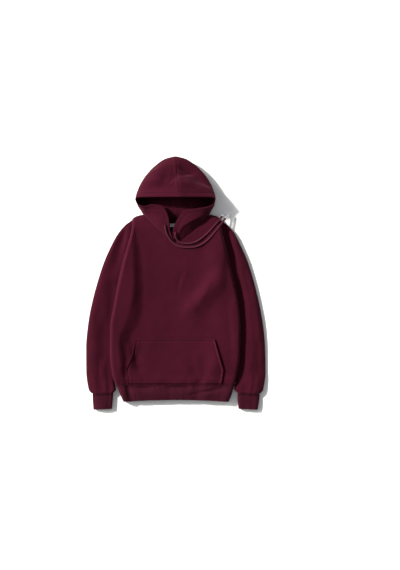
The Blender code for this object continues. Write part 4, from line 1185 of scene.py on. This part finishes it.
hoodCreases = creaseTable(
    (-96, 324, -64, 424, 10, 30, -0.2, 8), (4, 436, -14, 344, -7.5, 24, 0, -3),
    (-104, 310, -120, 352, -1, 12, 0, 3), (66, 456, 84, 390, -18, 42, -0.2, 0),
    (26, 450, 34, 396, -9, 20, -0.2, 0), (84, 401, 6, 387, -3.2, 11, 0.3, 3),
    (-46, 344, -30, 396, -2.5, 12, 0, 0), (-90, 356, 96, 352, 4, 28, -0.2, 0),
    (-84, 350, -6, 350, 2.6, 20, 0, 0), (70, 352, 36, 330, 1.8, 16, 0.2, 3),
    (124, 318, 100, 366, -1.6, 13, 0.2, 5), (6, 372, 3, 314, 1.3, 3.5, 0, 0),
    (-26, 343, -4, 364, 2.2, 6, 0, 2), (-44, 340, -20, 322, -1, 10, 0, 3),
    (30, 318, 14, 344, -0.9, 9, 0.2, 2), (-114, 240, -82, 214, -4, 8, 0, 2),
)
lowerCreases = creaseTable(
    (30, 262, 12, 228, -2.2, 9, 0.2, 3), (60, 300, 34, 250, 1.8, 13, 0, 5),
    (-112, 246, -84, 214, -7, 9, 0, 2), (-40, 290, -20, 240, -1.8, 12, 0, 4),
    (90, 280, 60, 240, 1.4, 12, 0, -4), (-90, 330, -50, 280, 1.6, 14, 0, 5),
    (-10, 380, -6, 300, 1.4, 15, 0, 3),
)


def sectionSpots(neck, read):
    # seven points of each hood section: neck seam, lower leg, fold, upper leg and rim. A point on a leg is
    # start + share x (end - start), and its share and height change with the bag
    fold, rim = (points(*(read[name + axis] for axis in "XYZ")) for name in ("fold", "rim"))
    bag = read["bag"]
    spots = [neck]
    for share, flatZ in ((0.4 - 0.18 * bag, read["under"]), (0.8 + 0 * bag, 1.5)):
        spot = neck + share[:, None] * (fold - neck)
        spot[..., 2] += bag * (flatZ - spot[..., 2])
        spots.append(spot)
    spots.append(fold)
    for share, drawn, rise in ((0.33, 0.22, 0.42), (0.67, 0.6, 0.76)):
        flat = share + bag * (drawn - share)
        spot = fold + flat[:, None] * (rim - fold)
        spot[..., 2] = fold[..., 2] + (share + bag * (rise - share)) * (rim - fold)[..., 2]
        spots.append(spot)
    return np.stack(spots + [rim])


def hoodHalf(rows, neck, at, levels):
    # a smooth curve through each section's points, read at the levels
    read = {name: columnAt(at, name, rows) for name in rows}
    return onFloor(smoothCurve(levels, hoodKnots, sectionSpots(neck, read)))


def hoodGrid(body, at, levels, b):
    # both halves from the neck seam to the rim, side by side, with their normals
    front, back, over, under, columns = body
    middle, inner = len(columns) // 2, b["columns"][0]
    grids, borders = [], []
    for side, step in (("right", 1), ("left", -1)):
        onFront, onBack = middle + step * np.arange(inner + 1), middle + step * np.arange(inner - 1, -1, -1)
        neck, before, border = (
            np.concatenate([upper[row][onFront], lower[row][onBack]])
            for upper, lower, row in ((front, back, -1), (front, back, -2), (over, under, -1))
        )
        borders.append(border)
        grids.append(hoodHalf(hoodRows[side], beyond(neck, before, b["seam"] / 2), at, levels))
    grid = np.concatenate([grids[0], grids[1][:, -2::-1]], axis=1)
    normals = gridNormals(grid)
    normals[0] = np.concatenate([borders[0], borders[1][-2::-1]])
    return grid, normals


def hoodLift(x, y, down, toRim, levels, s):
    # relief: creases of the upper layer, a step at the centre seam and creases of the layer under it, each
    # faded at its borders, + ripples - a bell-shaped line where the channel is stitched
    upper = ramp(levels, *s["upperLevels"])[:, None] * ramp(toRim, *s["upperRim"])
    lower = (1 - ramp(levels, *s["lowerLevels"]))[:, None] * ramp(down, *s["lowerNeck"])
    step = s["centre"] * (1 - ramp(x, *s["centreX"])) * ramp(y, *s["centreY"])
    lift = (s["creaseShare"] * creases(x, y, hoodCreases) + step) * upper + creases(x, y, lowerCreases) * lower
    lift = lift + ripples(x, y, *s["ripples"]) * np.maximum(upper, lower)
    return lift - s["line"] * bell(toRim, s["channelWidth"], s["lineWidth"]) * ramp(down, *s["lineSpan"])


def makeHood(body, s, b):
    # two halves that meet at the centre seam; thickness = cloth, doubled in the channel at the rim
    inner = b["columns"][0]
    levels = np.linspace(0, 1, s["rows"] + 1)
    # rows lie closer together at the neck seam, at the fold and at the rim
    levels = levels - s["crowd"] * np.sin(4 * np.pi * levels) / (4 * np.pi)
    turn, end = s["sideAt"], s["topAt"]
    at = np.concatenate([np.linspace(0, turn, inner + 1), np.linspace(turn, end, inner + 1)[1:]])
    grid, normals = hoodGrid(body, at, levels, b)
    down, _ = arcs(grid)
    toRim = down[-1:] - down
    grid = grid + normals * hoodLift(grid[..., 0], grid[..., 1], down, toRim, levels, s)[..., None]
    width, edge = s["channelWidth"], s["channelEdge"]
    doubled = (1 - ramp(toRim, width - edge, width + edge)) * ramp(down, *s["doubledSpan"])
    doubled = doubled * (1 - bell(np.concatenate([at, at[-2::-1]]), s["thinAt"], s["thinWidth"]))
    thick = s["cloth"] + (s["channel"] - s["cloth"]) * doubled
    pieces = []
    for side, part in (("Right", slice(0, len(at))), ("Left", slice(len(at) - 1, None))):
        half = grid[:, part].copy()
        for border, beside in ((0, 1), (-1, -2)):
            half[:, border] = beyond(half[:, border], half[:, beside], -b["seam"] / 2)
        outer = dressed(half, normals[:, part], s["seed"], s, borders=(0, 2, 3))
        fall, wide, (fromNeck, fromRim, first, last) = edgeDistances(outer)
        # the channel has one line of stitches: its distance is shifted, so that the second row stays off it
        channel = np.abs(fromRim - width) + s["stitchAt"]
        centre = last if side == "Right" else first
        seam = seamMap((wide, fromNeck), (fall, centre), (wide, channel))
        pieces.append(makeCloth(
            f"hood{side}", outer, thick[:, part], normals[:, part], finishes["fleece"], seam,
            rimRows=s["rimRows"], coarse=1,
        ))
    return pieces


for piece, side in zip(makeHood(body, hoodSettings, bodySettings), ("right", "left")):
    declare(piece, [f"hood_{side}"])
print("hood made")

labelSettings = {
    "wide": 30.0, "long": 13.0, "thick": 1.0, "x": -16.0, "columns": 60, "rows": 30, "drop": 1.0,
    "curl": 0.8, "wave": (0.15, 3.1, 5),
}


def makeLabel(s, b):
    # a small folded tape: z = the back's height + curl x (share of the half width)^2 + a slight wave
    x = s["x"] + np.linspace(-0.5, 0.5, s["columns"] + 1)[None, :] * s["wide"]
    y = b["neckBack"] - s["drop"] - np.linspace(s["long"], 0, s["rows"] + 1)[:, None]
    x, y = np.broadcast_arrays(x, y)
    rise, longX, longY = s["wave"]
    curl = s["curl"] * ((x - s["x"]) / s["wide"] * 2) ** 2 + rise * np.sin(x / longX + y / longY)
    grid = points(x, y, b["cloth"] + b["lay"] + s["thick"] + curl)
    down, wide = arcs(grid)
    return makeCloth("neckLabel", grid, s["thick"], gridNormals(grid), finishes["label"], (wide, down))


declare(makeLabel(labelSettings, bodySettings), ["neck_label"])
print("label made")

# the stage is in metres throughout
stageSettings = {
    "suns": {
        "key": {"place": (-2.5, 1.32, 2.15), "spread": 0.1, "strength": 6.4},
        "side": {"place": (-2.5, 1.1, 1.05), "spread": 0.9, "strength": 3.6},
    },
    "skyBase": 0.35, "skyRise": 0.18, "skyTint": (0.96, 1.0, 1.14, 1), "floor": (0.90, 0.88, 0.80, 1),
    "half": 9, "under": -0.0003,
}


def makeStage(s):
    # a wide pale floor just under the cloth, a sharp key sun and a soft side sun from the upper left, and a sky
    # whose strength = base + rise x how far a direction points towards the key
    finish = newMaterial("paleFloor", Base_Color=s["floor"], Roughness=0.9, Specular_IOR_Level=0.1)[0]
    mesh = bpy.data.meshes.new("floor")
    corners = [(x * s["half"], y * s["half"], s["under"]) for x, y in ((-1, -1), (1, -1), (1, 1), (-1, 1))]
    mesh.from_pydata(corners, [], [(0, 1, 2, 3)])
    mesh.materials.append(finish)
    floor = addObject("floor", mesh)
    for name, sun in s["suns"].items():
        lamp = bpy.data.lights.new(name, "SUN")
        lamp.angle, lamp.energy = sun["spread"], sun["strength"]
        made = addObject(name, lamp)
        made.location = sun["place"]
        made.rotation_euler = Vector([-v for v in sun["place"]]).to_track_quat("-Z", "Y").to_euler()
    world = bpy.data.worlds.new("sky")
    world.use_nodes = True
    tree = world.node_tree
    calc = calculator(tree)
    ways = {
        0: addNode(tree, "TexCoord").outputs["Generated"],
        1: tuple(Vector(s["suns"]["key"]["place"]).normalized()),
    }
    towards = addNode(tree, "VectorMath", ways, operation="DOT_PRODUCT").outputs["Value"]
    strength = calc("MULTIPLY_ADD", calc("MAXIMUM", towards, 0.0), s["skyRise"], s["skyBase"])
    background = tree.nodes["Background"]
    background.inputs["Color"].default_value = s["skyTint"]
    tree.links.new(strength, background.inputs["Strength"])
    bpy.context.scene.world = world
    bpy.context.scene.view_settings.view_transform = "Standard"


makeStage(stageSettings)
print("floor and light made")
